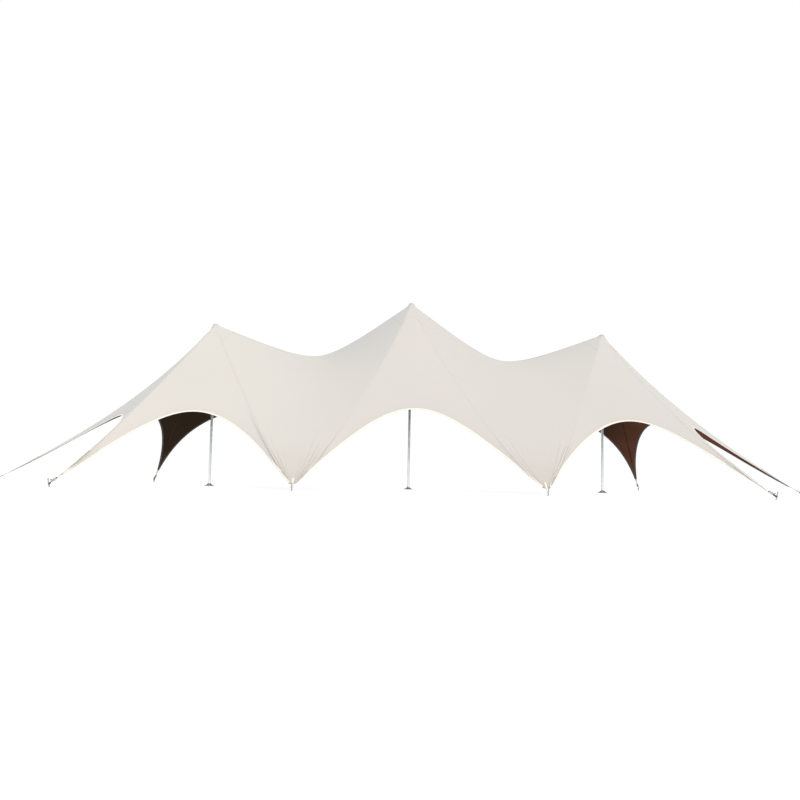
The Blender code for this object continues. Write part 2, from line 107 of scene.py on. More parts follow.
# Each panel of cloth is a triangle of the net, its corners counter-clockwise from above
PANELS = {
    "canopy_left_end_front": ("left_end", "front_left", "left_peak"),
    "canopy_front_left": ("front_left", "front_inner_left", "left_peak"),
    "canopy_front_left_bay": ("front_inner_left", "centre_peak", "left_peak"),
    "canopy_front_middle": ("front_inner_left", "front_inner_right", "centre_peak"),
    "canopy_front_right_bay": ("front_inner_right", "right_peak", "centre_peak"),
    "canopy_front_right": ("front_inner_right", "front_right", "right_peak"),
    "canopy_right_end_front": ("front_right", "right_end", "right_peak"),
    "canopy_right_end_back": ("right_end", "back_right", "right_peak"),
    "canopy_back_right": ("back_right", "back_rim_right", "right_peak"),
    "canopy_back_right_bay": ("back_rim_right", "centre_peak", "right_peak"),
    "canopy_back_middle": ("back_rim_right", "back_rim_left", "centre_peak"),
    "canopy_back_left_bay": ("back_rim_left", "left_peak", "centre_peak"),
    "canopy_back_left": ("back_rim_left", "back_left", "left_peak"),
    "canopy_left_end_back": ("back_left", "left_end", "left_peak"),
}

# Free edges of the cloth, each from tie-down to tie-down
RIMS = (
    ("left_end", "front_left"),
    ("front_left", "front_inner_left"),
    ("front_inner_left", "front_inner_right"),
    ("front_inner_right", "front_right"),
    ("front_right", "right_end"),
    ("right_end", "back_right"),
    ("back_right", "back_rim_right", "back_rim_left", "back_left"),
    ("back_left", "left_end"),
)

# What shapes an arch of the rim, as its settings are named
ARCH_PARTS = ("rise", "draw", "lean", "rise_round", "draw_round")

# Seams between the panels, from peak to tie-down, to the back rim and along the crest
LEG_SEAMS = {
    "left_end": "left_peak",
    "front_left": "left_peak",
    "back_left": "left_peak",
    "right_end": "right_peak",
    "front_right": "right_peak",
    "back_right": "right_peak",
}
INNER_SEAMS = (
    ("left_peak", "front_inner_left"),
    ("centre_peak", "front_inner_left"),
    ("centre_peak", "front_inner_right"),
    ("right_peak", "front_inner_right"),
)
BACK_SEAMS = (
    ("left_peak", "back_rim_left"),
    ("centre_peak", "back_rim_left"),
    ("centre_peak", "back_rim_right"),
    ("right_peak", "back_rim_right"),
)
CRESTS = (("left_peak", "centre_peak"), ("centre_peak", "right_peak"))

# Broad folds from a tie-down: place across the fan near it and far from it, width, length, height
FOLDS = {
    "front_inner_left": (
        (2.26, 2.10, 0.13, 4.0, 0.020),
        (2.54, 2.38, 0.12, 3.2, -0.006),
        (2.80, 2.78, 0.10, 2.8, 0.006),
        (0.70, 0.74, 0.10, 3.0, 0.006),
        (0.98, 0.98, 0.08, 3.2, 0.013),
        (1.20, 1.20, 0.07, 2.6, 0.013),
    ),
    "front_inner_right": (
        (0.98, 0.98, 0.08, 3.6, 0.016),
        (0.74, 0.80, 0.10, 3.4, 0.010),
        (0.46, 0.52, 0.10, 3.0, 0.006),
        (1.12, 1.12, 0.06, 3.0, 0.010),
        (2.60, 2.60, 0.12, 2.0, 0.005),
    ),
    "front_left": ((0.30, 0.30, 0.12, 3.0, 0.010), (1.60, 1.60, 0.12, 3.2, 0.012)),
    "left_end": ((0.35, 0.35, 0.12, 2.8, 0.010), (1.65, 1.65, 0.12, 2.8, 0.010)),
    "back_left": ((0.35, 0.35, 0.12, 3.0, 0.012), (1.65, 1.65, 0.12, 3.0, 0.012)),
}
FOLDS["front_right"] = FOLDS["front_left"]
FOLDS["right_end"] = FOLDS["left_end"]
FOLDS["back_right"] = FOLDS["back_left"]

# Fine creases in the cloth: place across the fan, half its width and its height
CREASES = (
    (0.16, 0.030, 0.2),
    (0.40, 0.030, 0.3),
    (0.62, 0.026, 0.5),
    (0.82, 0.022, 0.8),
    (0.96, 0.016, 0.8),
    (1.06, 0.014, 1.0),
    (1.15, 0.012, 0.9),
    (1.25, 0.012, 0.7),
    (1.38, 0.012, 0.4),
    (1.78, 0.016, 0.3),
    (1.90, 0.014, 0.8),
    (1.98, 0.014, 1.0),
    (2.12, 0.020, 0.8),
    (2.28, 0.026, 0.8),
    (2.50, 0.026, 0.5),
    (2.76, 0.030, 0.3),
)
# Creases on one ramp, which holds at most 32 stops
CREASES_A_RAMP = 9

# Ties whose fans are counted from the other side, so that their creases mirror the left ones
MIRRORED_FANS = ("front_inner_right", "front_right")

# A node's number in the net is its place along X times this, plus its place along Y
KEY_STEP = 10000
# Distance to the nearest tie-down of a node that no fan reaches
OUT_OF_REACH = 99.0
# Stretch fabric is cut smaller than it hangs
CUT_SHARE = 0.93

# The stakes, as in the frame
STAKE_LEAN = math.radians(15.0)
STAKE_RADIUS = 0.016

# Outline of a peak cap, as radius and height above the cloth
CAP_PROFILE = [(0.0, -0.001), (0.050, -0.001), (0.064, -0.016), (0.069, -0.016)]
CAP_PROFILE += [(0.070, -0.012), (0.064, -0.001), (0.055, 0.006), (0.040, 0.010)]
CAP_PROFILE += [(0.026, 0.012), (0.015, 0.012), (0.0135, 0.014), (0.013, 0.020)]
CAP_PROFILE += [(0.0115, 0.022), (0.0, 0.0225)]

# The D ring at a corner: its bar's distance from the cloth, its depth, width, rod and bar
RING_BAR = 0.048
RING_DEPTH = 0.045
RING_WIDTH = 0.066
RING_ROD = 0.004
RING_BAR_HALF = 0.026
INNER_BAR_SHARE = 0.8
RING_PAST_STAKE = 0.0205
RING_PLAY = 0.0005
CORNER_STITCH_EDGE = 0.006
CORNER_STITCH_LIFT = 0.0015

# The straps: a loop round the stake and the spindle, a tail, and the roll on the spindle
LOOP_AT_STAKE = 0.0185
LOOP_AT_SPINDLE = 0.010
LOOP_HALF_GAP = 0.0016
LOOP_FROM_STAKE = 0.045
LOOP_FROM_SPINDLE = 0.022
TAIL_LENGTH = 0.030
TAIL_ROUND_RING = RING_ROD + 0.0018
ROLL_START = 0.0105
ROLL_GROWTH = 0.0027
ROLL_TURNS = 3.5

# The ratchets: from the spindle to the ring, where each pair of plates starts across the strap,
# how thick the plates are, and their outlines as places along the strap and above it
RATCHET_LENGTH = 0.118
FRAME_SIDES = (-0.031, 0.0285)
WHEEL_SIDES = (-0.0375, 0.0335)
LEVER_SIDES = (-0.0405, 0.038)
SHEET_STEEL = 0.0025
WHEEL_STEEL = 0.004
BOLT_PLACE = 0.088
FRAME_OUTLINE = [(-0.020, -0.012), (-0.010, -0.018), (0.070, -0.016), (0.096, -0.011)]
FRAME_OUTLINE += [(0.101, 0.0), (0.096, 0.011), (0.070, 0.015), (0.030, 0.021)]
FRAME_OUTLINE += [(0.012, 0.026), (-0.012, 0.025), (-0.022, 0.014), (-0.024, 0.0)]
LATCH_OUTLINE = [(0.026, 0.006), (0.058, 0.004), (0.060, 0.009), (0.030, 0.013), (0.022, 0.012)]
LEVER_OUTLINE = [(0.010, -0.012), (0.016, 0.004), (0.008, 0.020), (-0.020, 0.034)]
LEVER_OUTLINE += [(-0.058, 0.052), (-0.064, 0.047), (-0.062, 0.036), (-0.034, 0.020)]
LEVER_OUTLINE += [(-0.014, 0.004), (-0.010, -0.010), (-0.002, -0.016)]
LEVER_WEB_OUTLINE = [(-0.012, 0.031), (-0.040, 0.045), (-0.042, 0.041), (-0.014, 0.027)]

# The poles' base plates and tubes, as in the frame
PLATE_TOP = 0.010
SOCKET_RADIUS = 0.0443
UPPER_TUBE_RADIUS = 0.030
# What is fitted to them, its outlines as distance from a pole's axis and height
BOLT_CIRCLE = 0.112
RIB_OUTLINE = [(SOCKET_RADIUS - 0.001, PLATE_TOP), (0.118, PLATE_TOP), (0.118, PLATE_TOP + 0.006)]
RIB_OUTLINE += [(0.060, 0.062), (SOCKET_RADIUS - 0.001, 0.066)]
CLAMP_PROFILE = [(0.0383, -0.052), (0.0470, -0.052), (0.0480, -0.050), (0.0480, -0.014)]
CLAMP_PROFILE += [(0.0470, -0.012), (0.0383, -0.012)]
CLAMP_EAR = [(-0.082, -0.016), (-0.046, -0.019), (-0.046, 0.019), (-0.082, 0.016)]
NECK_PROFILE = [(0.0303, -0.030), (0.0345, -0.030), (0.0352, -0.028), (0.0352, -0.004)]
NECK_PROFILE += [(0.0345, -0.002), (0.0303, -0.002)]
PIN_HOLES = 7
PIN_HOLE_PITCH = 0.10
FIRST_PIN_HOLE = 0.12


def metres(name, default, description):
    """A length that the user can change."""
    return FloatProperty(name=name, default=default, description=description, unit="LENGTH")


def number(name, default, description):
    """A plain number that the user can change."""
    return FloatProperty(name=name, default=default, description=description)


def radians(name, default, description):
    """An angle that the user can change."""
    return FloatProperty(name=name, default=default, description=description, subtype="ANGLE")


def count(name, default, description):
    """A whole number that the user can change."""
    return IntProperty(name=name, default=default, description=description, min=1)


def colour(name, default, description):
    """A colour that the user can change."""
    return FloatVectorProperty(
        name=name, default=default, description=description, subtype="COLOR", min=0.0, max=1.0
    )


class TentPlan(bpy.types.PropertyGroup):
    pole_spacing: metres("Pole spacing", 6.0, "From pole to pole")
    end_reach: metres("End reach", 12.31, "From the middle pole to the end tie-downs")
    corner_reach: metres("Corner reach", 8.87, "From the middle to the corners, along the poles")
    inner_reach: metres("Inner reach", 3.13, "From the middle to the inner front tie-downs")
    half_width: metres("Half width", 4.97, "From the row of poles to the front and back tie-downs")
    side_peak: metres("Side peak", 4.92, "Height of the two outer peaks")
    centre_peak: metres("Centre peak", 5.74, "Height of the middle peak")
    crest_low: metres("Crest low point", 4.01, "Height of the crest between two peaks")
    crest_round: number("Crest roundness", 0.3, "0 is a sharp V, a large value a parabola")
    tie_height: metres("Tie height", 0.08, "Height of the tie-downs above the ground")


class TentArches(bpy.types.PropertyGroup):
    middle_rise: metres("Middle rise", 2.15, "Rise of the middle front arch")
    middle_draw: metres("Middle draw", 2.27, "How far the middle arch draws in")
    middle_lean: number("Middle lean", 0.0, "0 keeps the arch's top in the middle")
    middle_rise_round: number("Middle rise roundness", 0.57, "Roundness of the arch's rise")
    middle_draw_round: number("Middle draw roundness", 2.70, "Roundness of the arch's draw")
    side_rise: metres("Side rise", 1.96, "Rise of the two side front arches")
    side_draw: metres("Side draw", 2.33, "How far the side arches draw in")
    side_lean: number("Side lean", 0.0, "0 keeps the arches' tops in the middle")
    side_rise_round: number("Side rise roundness", 0.66, "Roundness of the side arches' rise")
    side_draw_round: number("Side draw roundness", 5.28, "Roundness of the side arches' draw")
    end_rise: metres("End rise", 1.88, "Rise of the arches at the front of the ends")
    end_draw: metres("End draw", 2.44, "How far the end arches draw in")
    end_lean: number("End lean", 0.35, "Above 0, an end arch's top moves towards the corner")
    end_rise_round: number("End rise roundness", 0.36, "Roundness of the end arches' rise")
    end_draw_round: number("End draw roundness", 0.49, "Roundness of the end arches' draw")
    rear_end_rise: metres("Rear end rise", 2.25, "Rise of the arches at the back of the ends")
    rear_end_draw: metres("Rear end draw", 2.08, "How far the rear end arches draw in")
    rear_end_lean: number("Rear end lean", 0.45, "The same for the rear end arches")
    rear_end_rise_round: number("Rear rise roundness", 0.74, "Roundness of their rise")
    rear_end_draw_round: number("Rear draw roundness", 1.75, "Roundness of their draw")
    back_rise: metres("Back rise", 2.62, "Rise of the long back arch")
    back_draw: metres("Back draw", 2.70, "How far the back arch draws in")
    back_rise_power: number("Back rise power", 5.35, "Steepness of the back arch's ends")
    back_draw_power: number("Back draw power", 4.56, "Steepness of the back arch's ends in plan")


class TentCloth(bpy.types.PropertyGroup):
    fine_steps: count("Fine steps", 80, "Steps along a panel's side in the finished cloth")
    coarse_steps: count("Coarse steps", 12, "Steps along a side, where the pull at a tie is read")
    rounds: count("Rounds", 900, "Rounds that settle the heights of the net")
    centre_pull: number("Centre pull", 2.23, "Width of cloth that pulls as its ridges do")
    inner_pull: number("Inner pull", 3.92, "Pull of the outer peaks' inner ridges")
    back_pull: number("Back pull", 120.5, "Pull of the ridges to the back corners")
    front_left_pull: number("Front left pull", 35.0, "Pull of the ridge to that corner")
    front_right_pull: number("Front right pull", 9.3, "Pull of the ridge to that corner")
    left_end_pull: number("Left end pull", 2.94, "Pull of the ridge to that end")
    right_end_pull: number("Right end pull", 6.3, "Pull of the ridge to that end")
    thickness: metres("Cloth thickness", 0.004, "Both layers with the air between them")
    seat_radius: metres("Seat radius", 0.060, "Flat place over a pole's head")
    fold_peak: number("Fold peak", 0.6, "Below 1, folds are deepest near the tie-down")
    leg_cut: count("Leg cut", 4, "Rows of the net that webbing takes at a long leg")
    inner_cut: count("Inner cut", 2, "Rows of the net that webbing takes at an inner tie-down")
    leg_patch: count("Leg patch", 15, "Rows that the doubled corner covers on a long leg")
    inner_patch: count("Inner patch", 8, "Rows that the doubled corner covers on an inner tie-down")
    peak_patch: count("Peak patch", 8, "Rows that the doubled patch covers round a peak")
    patch_proud: metres("Patch thickness", 0.0016, "How far a patch stands proud of the cloth")


class TentSewing(bpy.types.PropertyGroup):
    hem_width: metres("Hem width", 0.055, "Binding along the free edges")
    hem_proud: metres("Hem thickness", 0.0022, "How far the binding stands proud of the cloth")
    seam_width: metres("Seam width", 0.036, "Tape over the seams between panels")
    seam_proud: metres("Seam thickness", 0.0014, "Thickness of a seam tape")
    webbing_width: metres("Webbing width", 0.050, "Webbing sewn to the corners")
    webbing_thickness: metres("Webbing thickness", 0.003, "Webbing sewn to the corners")
    strap_width: metres("Strap width", 0.048, "Ratchet straps")
    strap_thickness: metres("Strap thickness", 0.0024, "Ratchet straps")
    stitch_pitch: metres("Stitch pitch", 0.014, "From one stitch to the next")
    stitch_length: metres("Stitch length", 0.009, "One stitch")
    stitch_edge: metres("Stitch edge", 0.008, "From an edge to the row of stitches beside it")
    thread: metres("Thread", 0.0011, "Radius of the thread")


class TentColours(bpy.types.PropertyGroup):
    cream: colour("Cream", (0.525, 0.500, 0.468), "Outer face of the canopy")
    cloud: colour("Cloud", (0.468, 0.445, 0.426), "Greyer clouds, more of them at the right")
    # Painted shade: the grey that the slopes facing left are painted with
    painted_left_shade: colour("Rained", (0.425, 0.422, 0.412), "Greyed cloth on the slopes that face left")
    soil: colour("Soil", (0.40, 0.355, 0.305), "Dust near the tie-downs")
    lining: colour("Lining", (0.0150, 0.0125, 0.0065), "Dark brown inner face")
    # Painted light: redder towards the right, as if lit through; elsewhere faint random warm tones
    lining_warm: colour("Warm lining", (0.125, 0.042, 0.024), "Lining faded reddish, at the right")
    binding: colour("Binding", (0.76, 0.73, 0.67), "Hems and corner webbing")
    strap: colour("Strap", (0.035, 0.033, 0.032), "Ratchet straps")
    zinc: colour("Zinc", (0.52, 0.53, 0.54), "Galvanised stakes and plates")
    bright: colour("Bright zinc", (0.70, 0.69, 0.66), "Rings and ratchets")
    alloy: colour("Alloy", (0.92, 0.93, 0.94), "Pole tubes")
    rubber: colour("Rubber", (0.03, 0.03, 0.03), "Pole heads and grips")
    cap: colour("Cap", (0.60, 0.60, 0.58), "Caps on the peaks")


class TentStage(bpy.types.PropertyGroup):
    camera_place: FloatVectorProperty(
        name="Camera place",
        default=(-1.545, -24.683, 0.474),
        description="Where the camera stands",
        subtype="TRANSLATION",
        unit="LENGTH",
    )
    camera_yaw: radians("Camera yaw", -0.0503, "Turn to the left of +Y")
    camera_pitch: radians("Camera pitch", 0.0908, "Tilt above level")
    camera_roll: radians("Camera roll", 0.0189, "Turn about the view")
    focal_length: FloatProperty(
        name="Focal length", default=36.32, description="On a sensor 36 mm wide", unit="CAMERA"
    )
    floor_size: metres("Floor size", 400.0, "Side of the pale floor")
    floor_grey: number("Floor grey", 0.12, "Paleness of the floor without its own glow")
    floor_glow: number("Floor glow", 0.90, "White light that the floor itself gives")
    world_light: number("World light", 1.02, "Brightness of the white surroundings")
    world_tint: colour("World tint", (0.985, 1.0, 1.0), "Colour of the surroundings")
    key_light: number("Key light", 1.85, "Strength of the soft sun")
    key_tint: colour("Key tint", (1.0, 0.95, 0.88), "Colour of the soft sun")
    key_spread: radians("Key spread", math.radians(25.0), "Width of the soft sun in the sky")
    key_turn: FloatVectorProperty(
        name="Key turn",
        default=(math.radians(62.0), 0.0, math.radians(14.0)),
        description="How the soft sun is turned: it shines from the front, a little to the right",
        subtype="EULER",
    )


# Nodes


class Value:
    """A node's output. Arithmetic on it adds Math nodes."""

    def __init__(self, graph, socket):
        self.graph = graph
        self.socket = socket

    def maths(self, operation, *values):
        return self.graph.node("ShaderNodeMath", {"operation": operation}, dict(enumerate(values)))

    def __add__(self, other):
        return self.maths("ADD", self, other)

    def __sub__(self, other):
        return self.maths("SUBTRACT", self, other)

    def __rsub__(self, other):
        return self.maths("SUBTRACT", other, self)

    def __mul__(self, other):
        return self.maths("MULTIPLY", self, other)

    def __truediv__(self, other):
        return self.maths("DIVIDE", self, other)

    def __rtruediv__(self, other):
        return self.maths("DIVIDE", other, self)

    __radd__ = __add__
    __rmul__ = __mul__

    def sine(self):
        return self.maths("SINE", self)

    def fades(self, start, end):
        """1 up to start, falling smoothly to 0 at end."""
        return self.graph.node(
            "ShaderNodeMapRange",
            {"interpolation_type": "SMOOTHSTEP"},
            {"Value": self, "From Min": start, "From Max": end, "To Min": 1.0, "To Max": 0.0},
        )

    def also(self, name):
        """Another output of the same node."""
        return Value(self.graph, self.socket.node.outputs[name])


class Graph:
    """Adds nodes to a tree of shader or geometry nodes."""

    def __init__(self, tree):
        self.tree = tree

    def put(self, socket, value):
        """Link a value to a socket, or set the socket's own number."""
        if isinstance(value, Value):
            self.tree.links.new(value.socket, socket)
        elif isinstance(value, list):
            for one in value:
                self.put(socket, one)
        elif socket.type == "RGBA" and len(value) == 3:
            socket.default_value = (*value, 1.0)
        else:
            socket.default_value = value

    def node(self, kind, settings=None, inputs=None, output=0):
        """A new node, and one of its outputs."""
        node = self.tree.nodes.new(kind)
        for name, value in (settings or {}).items():
            setattr(node, name, value)
        for name, value in (inputs or {}).items():
            self.put(node.inputs[name], value)
        return Value(self, node.outputs[output])

    def vector_maths(self, operation, first, second):
        """Two vectors, or a vector and the number that scales it."""
        place = "Scale" if operation == "SCALE" else 1
        return self.node(
            "ShaderNodeVectorMath", {"operation": operation}, {0: first, place: second}
        )


class Paint(Graph):
    """The nodes of one material, around a Principled shader."""

    def __init__(self, name, **sockets):
        self.material = bpy.data.materials.new(name)
        self.material.use_nodes = True
        super().__init__(self.material.node_tree)
        self.shader = self.tree.nodes["Principled BSDF"]
        for label, value in sockets.items():
            self.set(label.replace("_", " ").title().replace("Ior", "IOR"), value)

    def set(self, label, value):
        self.put(self.shader.inputs[label], value)

    def place(self):
        """Object coordinates, in metres."""
        return self.node("ShaderNodeTexCoord", output="Object")

    def along_x(self, place):
        """How far a place is along X, in metres."""
        return self.node("ShaderNodeSeparateXYZ", inputs={"Vector": place})

    def attribute(self, name):
        return self.node("ShaderNodeAttribute", {"attribute_name": name}, output="Fac")

    def noise(self, place, scale, detail=2.0, rough=0.5):
        """Clouds from 0 to 1, so many to a metre."""
        return self.node(
            "ShaderNodeTexNoise",
            inputs={"Vector": place, "Scale": scale, "Detail": detail, "Roughness": rough},
        )

    def waves(self, place, scale, direction):
        """Even waves from 0 to 1 along one direction."""
        return self.node(
            "ShaderNodeTexWave",
            {"wave_type": "BANDS", "bands_direction": direction, "wave_profile": "SIN"},
            {"Vector": place, "Scale": scale},
            "Fac",
        )

    def ramp(self, share, stops):
        """A height that follows stops, each a place from 0 to 1 and a height from 0 to 1."""
        height = self.node("ShaderNodeValToRGB", inputs={"Fac": share})
        ramp = height.socket.node.color_ramp
        while len(ramp.elements) < len(stops):
            ramp.elements.new(1.0)
        for element, (place, grey) in zip(ramp.elements, stops):
            element.position = place
            element.color = (grey, grey, grey, 1.0)
        return height

    def mix(self, share, first, second):
        """From the first colour to the second."""
        inputs = {0: share, 6: first, 7: second}
        return self.node("ShaderNodeMix", {"data_type": "RGBA"}, inputs, output=2)

    def bump(self, height, distance):
        """Feed a height to the shader's normal."""
        inputs = {"Height": height, "Distance": distance, "Strength": 1.0}
        self.set("Normal", self.node("ShaderNodeBump", inputs=inputs, output="Normal"))


def new_tree(name, inputs):
    """A geometry tree with named inputs: numbers with their defaults, or None for a material."""
    tree = bpy.data.node_groups.new(name, "GeometryNodeTree")
    face = tree.interface
    face.new_socket("Geometry", in_out="INPUT", socket_type="NodeSocketGeometry")
    for label, default in inputs.items():
        if default is None:
            face.new_socket(label, in_out="INPUT", socket_type="NodeSocketMaterial")
        else:
            kind = "NodeSocketInt" if isinstance(default, int) else "NodeSocketFloat"
            face.new_socket(label, in_out="INPUT", socket_type=kind).default_value = default
    face.new_socket("Geometry", in_out="OUTPUT", socket_type="NodeSocketGeometry")
    graph = Graph(tree)
    entry = tree.nodes.new("NodeGroupInput")
    given = {socket.name: Value(graph, socket) for socket in entry.outputs if socket.name}
    return graph, given


def end_tree(graph, geometry, *parts):
    """Realize the instances, give each part its material, and leave the tree."""
    geometry = graph.node("GeometryNodeRealizeInstances", inputs={"Geometry": geometry})
    for material, selection in parts:
        geometry = graph.node(
            "GeometryNodeSetMaterial",
            inputs={"Geometry": geometry, "Material": material, "Selection": selection},
        )
    leave = graph.tree.nodes.new("NodeGroupOutput")
    graph.put(leave.inputs["Geometry"], geometry)
    return graph.tree


def facing_ways(graph):
    """The ways that the points face."""
    return graph.node(
        "GeometryNodeInputNamedAttribute", {"data_type": "FLOAT_VECTOR"}, {"Name": "facing"}
    )


def kept(graph, geometry, name, value):
    """The geometry with a value for each point, for its finish to read."""
    return graph.node(
        "GeometryNodeStoreNamedAttribute",
        {"data_type": "FLOAT", "domain": "POINT"},
        {"Geometry": geometry, "Name": name, "Value": value},
    )


def swept(graph, path, profile):
    """A profile along a path, its ends closed."""
    return graph.node(
        "GeometryNodeCurveToMesh",
        inputs={"Curve": path, "Profile Curve": profile, "Fill Caps": True},
    )


def set_out(graph, points, shape, upward, sideways):
    """A shape on each point, with its Z and its X turned to two ways."""
    turn = graph.node(
        "FunctionNodeAxesToRotation",
        {"primary_axis": "Z", "secondary_axis": "X"},
        {"Primary Axis": upward, "Secondary Axis": sideways},
    )
    return graph.node(
        "GeometryNodeInstanceOnPoints",
        inputs={"Points": points, "Instance": shape, "Rotation": turn},
    )


def shifted_path(graph, given):
    """The edges as a curve that faces as its points say, moved up and sideways by the inputs."""
    curve = graph.node("GeometryNodeMeshToCurve", inputs={"Mesh": given["Geometry"]})
    facing = facing_ways(graph)
    aimed = graph.node(
        "GeometryNodeSetCurveNormal", {"mode": "FREE"}, {"Curve": curve, "Normal": facing}
    )
    tangent = graph.node("GeometryNodeInputTangent")
    sideways = graph.vector_maths("CROSS_PRODUCT", facing, tangent)
    lifted = graph.vector_maths("SCALE", facing, given["Lift"])
    shifted = graph.vector_maths("SCALE", sideways, given["Shift"])
    offset = graph.vector_maths("ADD", lifted, shifted)
    path = graph.node("GeometryNodeSetPosition", inputs={"Geometry": aimed, "Offset": offset})
    return path, facing, tangent


@cache
def band_tree():
    """A flat band with rounded edges along a path."""
    sizes = {"Width": 0.05, "Thickness": 0.002, "Lift": 0.0, "Shift": 0.0, "Material": None}
    graph, given = new_tree("Band along a path", sizes)
    path = shifted_path(graph, given)[0]
    length = graph.node("GeometryNodeSplineParameter", output="Length")
    path = kept(graph, path, "along", length)
    profile = graph.node(
        "GeometryNodeCurvePrimitiveQuadrilateral",
        inputs={"Width": given["Thickness"], "Height": given["Width"]},
    )
    profile = graph.node(
        "GeometryNodeFilletCurve",
        {"mode": "POLY"},
        {"Curve": profile, "Count": 2, "Radius": given["Thickness"] * 0.45},
    )
    place = graph.node("GeometryNodeInputPosition")
    depth = graph.node("ShaderNodeSeparateXYZ", inputs={0: place})
    profile = kept(graph, profile, "across", depth.also("Y"))
    profile = kept(graph, profile, "depth", depth)
    return end_tree(graph, swept(graph, path, profile), (given["Material"], True))


@cache
def rod_tree():
    """A round rod along a path."""
    sizes = {"Radius": 0.005, "Sides": 10, "Lift": 0.0, "Shift": 0.0, "Material": None}
    graph, given = new_tree("Rod along a path", sizes)
    path = shifted_path(graph, given)[0]
    profile = graph.node(
        "GeometryNodeCurvePrimitiveCircle",
        inputs={"Resolution": given["Sides"], "Radius": given["Radius"]},
    )
    return end_tree(graph, swept(graph, path, profile), (given["Material"], True))


@cache
def stitch_tree():
    """A row of stitches along a path."""
    sizes = {"Pitch": 0.014, "Length": 0.009, "Thread": 0.001, "Lift": 0.0, "Shift": 0.0}
    graph, given = new_tree("Row of stitches", {**sizes, "Material": None})
    path, facing, tangent = shifted_path(graph, given)
    spaced = graph.node(
        "GeometryNodeResampleCurve", {"mode": "LENGTH"}, {"Curve": path, "Length": given["Pitch"]}
    )
    stitch = graph.node(
        "GeometryNodeMeshCylinder",
        inputs={"Vertices": 5, "Radius": given["Thread"], "Depth": given["Length"]},
    )
    row = set_out(graph, spaced, stitch, tangent, facing)
    return end_tree(graph, row, (given["Material"], True))


@cache
def head_tree():
    """A round or hexagonal head on each point."""
    sizes = {"Sides": 6, "Radius": 0.01, "Height": 0.006, "Material": None}
    graph, given = new_tree("Heads on points", sizes)
    head = graph.node(
        "GeometryNodeMeshCylinder",
        inputs={"Vertices": given["Sides"], "Radius": given["Radius"], "Depth": given["Height"]},
    )
    heads = set_out(graph, given["Geometry"], head, facing_ways(graph), (0.3, 0.2, 1.0))
    return end_tree(graph, heads, (given["Material"], True))


@cache
def shell_tree():
    """A thin shell of cloth from its middle surface: outer face, lining and cut edge."""
    sizes = {"Thickness": 0.004, "Outer": None, "Lining": None, "Edge": None}
    graph, given = new_tree("Shell of cloth", sizes)
    normal = graph.node("GeometryNodeInputNormal")
    half = graph.vector_maths("SCALE", normal, given["Thickness"] * -0.5)
    low = graph.node(
        "GeometryNodeSetPosition", inputs={"Geometry": given["Geometry"], "Offset": half}
    )
    raised = graph.node(
        "GeometryNodeExtrudeMesh",
        {"mode": "FACES"},
        {"Mesh": low, "Offset Scale": given["Thickness"], "Individual": False},
    )
    under = graph.node("GeometryNodeFlipFaces", inputs={"Mesh": low})
    joined = graph.node("GeometryNodeJoinGeometry", inputs={"Geometry": [under, raised]})
    shell = graph.node(
        "GeometryNodeMergeByDistance", inputs={"Geometry": joined, "Distance": 0.00002}
    )
    outer = (given["Outer"], raised.also("Top"))
    edge = (given["Edge"], raised.also("Side"))
    return end_tree(graph, shell, (given["Lining"], True), outer, edge)


# Pieces


def store(mesh, name, values, kind="FLOAT"):
    """Keep a value for each point of a mesh."""
    field = "vector" if kind == "FLOAT_VECTOR" else "value"
    layer = mesh.attributes.new(name, kind, "POINT")
    layer.data.foreach_set(field, np.asarray(values, np.float32).ravel())


def path_mesh(name, paths):
    """Bare edges along paths, each a list of points, the ways they face, and if it is closed."""
    points, ways, edges = [], [], []
    for line, facing, closed in paths:
        first = len(points)
        points.extend(tuple(point) for point in line)
        ways.extend(tuple(way) for way in facing)
        edges.extend((first + step, first + step + 1) for step in range(len(line) - 1))
        if closed:
            edges.append((len(points) - 1, first))
    mesh = bpy.data.meshes.new(name)
    mesh.from_pydata(points, edges, [])
    store(mesh, "facing", ways, "FLOAT_VECTOR")
    return mesh


def stand(name, data):
    """A new object in the scene."""
    thing = bpy.data.objects.new(name, data)
    bpy.context.scene.collection.objects.link(thing)
    return thing


def grow(name, mesh, tree, values):
    """The plain mesh that a tree makes of a mesh, as a new piece."""
    piece = stand(name, mesh)
    modifier = piece.modifiers.new("Nodes", "NODES")
    modifier.node_group = tree
    for item in tree.interface.items_tree:
        if item.item_type == "SOCKET" and item.in_out == "INPUT" and item.name in values:
            modifier[item.identifier] = values[item.name]
    made = bpy.data.meshes.new_from_object(
        piece.evaluated_get(bpy.context.evaluated_depsgraph_get())
    )
    piece.modifiers.remove(modifier)
    piece.data = made
    made.name = name
    return piece


def settle(piece, slot, *replaced, sharp=40.0):
    """Shade a finished piece, tie it to its body and hide the nodes of the frame that it stands
    for.
    """
    piece.data.shade_smooth()
    piece.data.set_sharp_from_angle(angle=math.radians(sharp))
    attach(piece, BODY)
    if replaced:
        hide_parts(*replaced)


def lay(name, paths, tree, values, slot, *replaced):
    """A finished piece that a tree makes along paths."""
    settle(grow(name, path_mesh(name, paths), tree, values), slot, *replaced)


def solid(name, points, faces, material):
    """A piece from points and faces, its normals made to point outwards."""
    mesh = bpy.data.meshes.new(name)
    mesh.from_pydata([tuple(point) for point in points], [], faces)
    shape = bmesh.new()
    shape.from_mesh(mesh)
    bmesh.ops.recalc_face_normals(shape, faces=shape.faces)
    shape.to_mesh(mesh)
    shape.free()
    mesh.materials.append(material)
    return stand(name, mesh)


def on_circle(centre, radius, share):
    """The point of a circle at a share of a turn."""
    turn = 2.0 * math.pi * share
    return centre[0] + radius * math.cos(turn), centre[1] + radius * math.sin(turn)


def arc(start, end, count):
    """So many directions in X and Z, from one angle to another."""
    bend = np.linspace(start, end, count)
    return np.column_stack([np.cos(bend), np.zeros(count), np.sin(bend)])


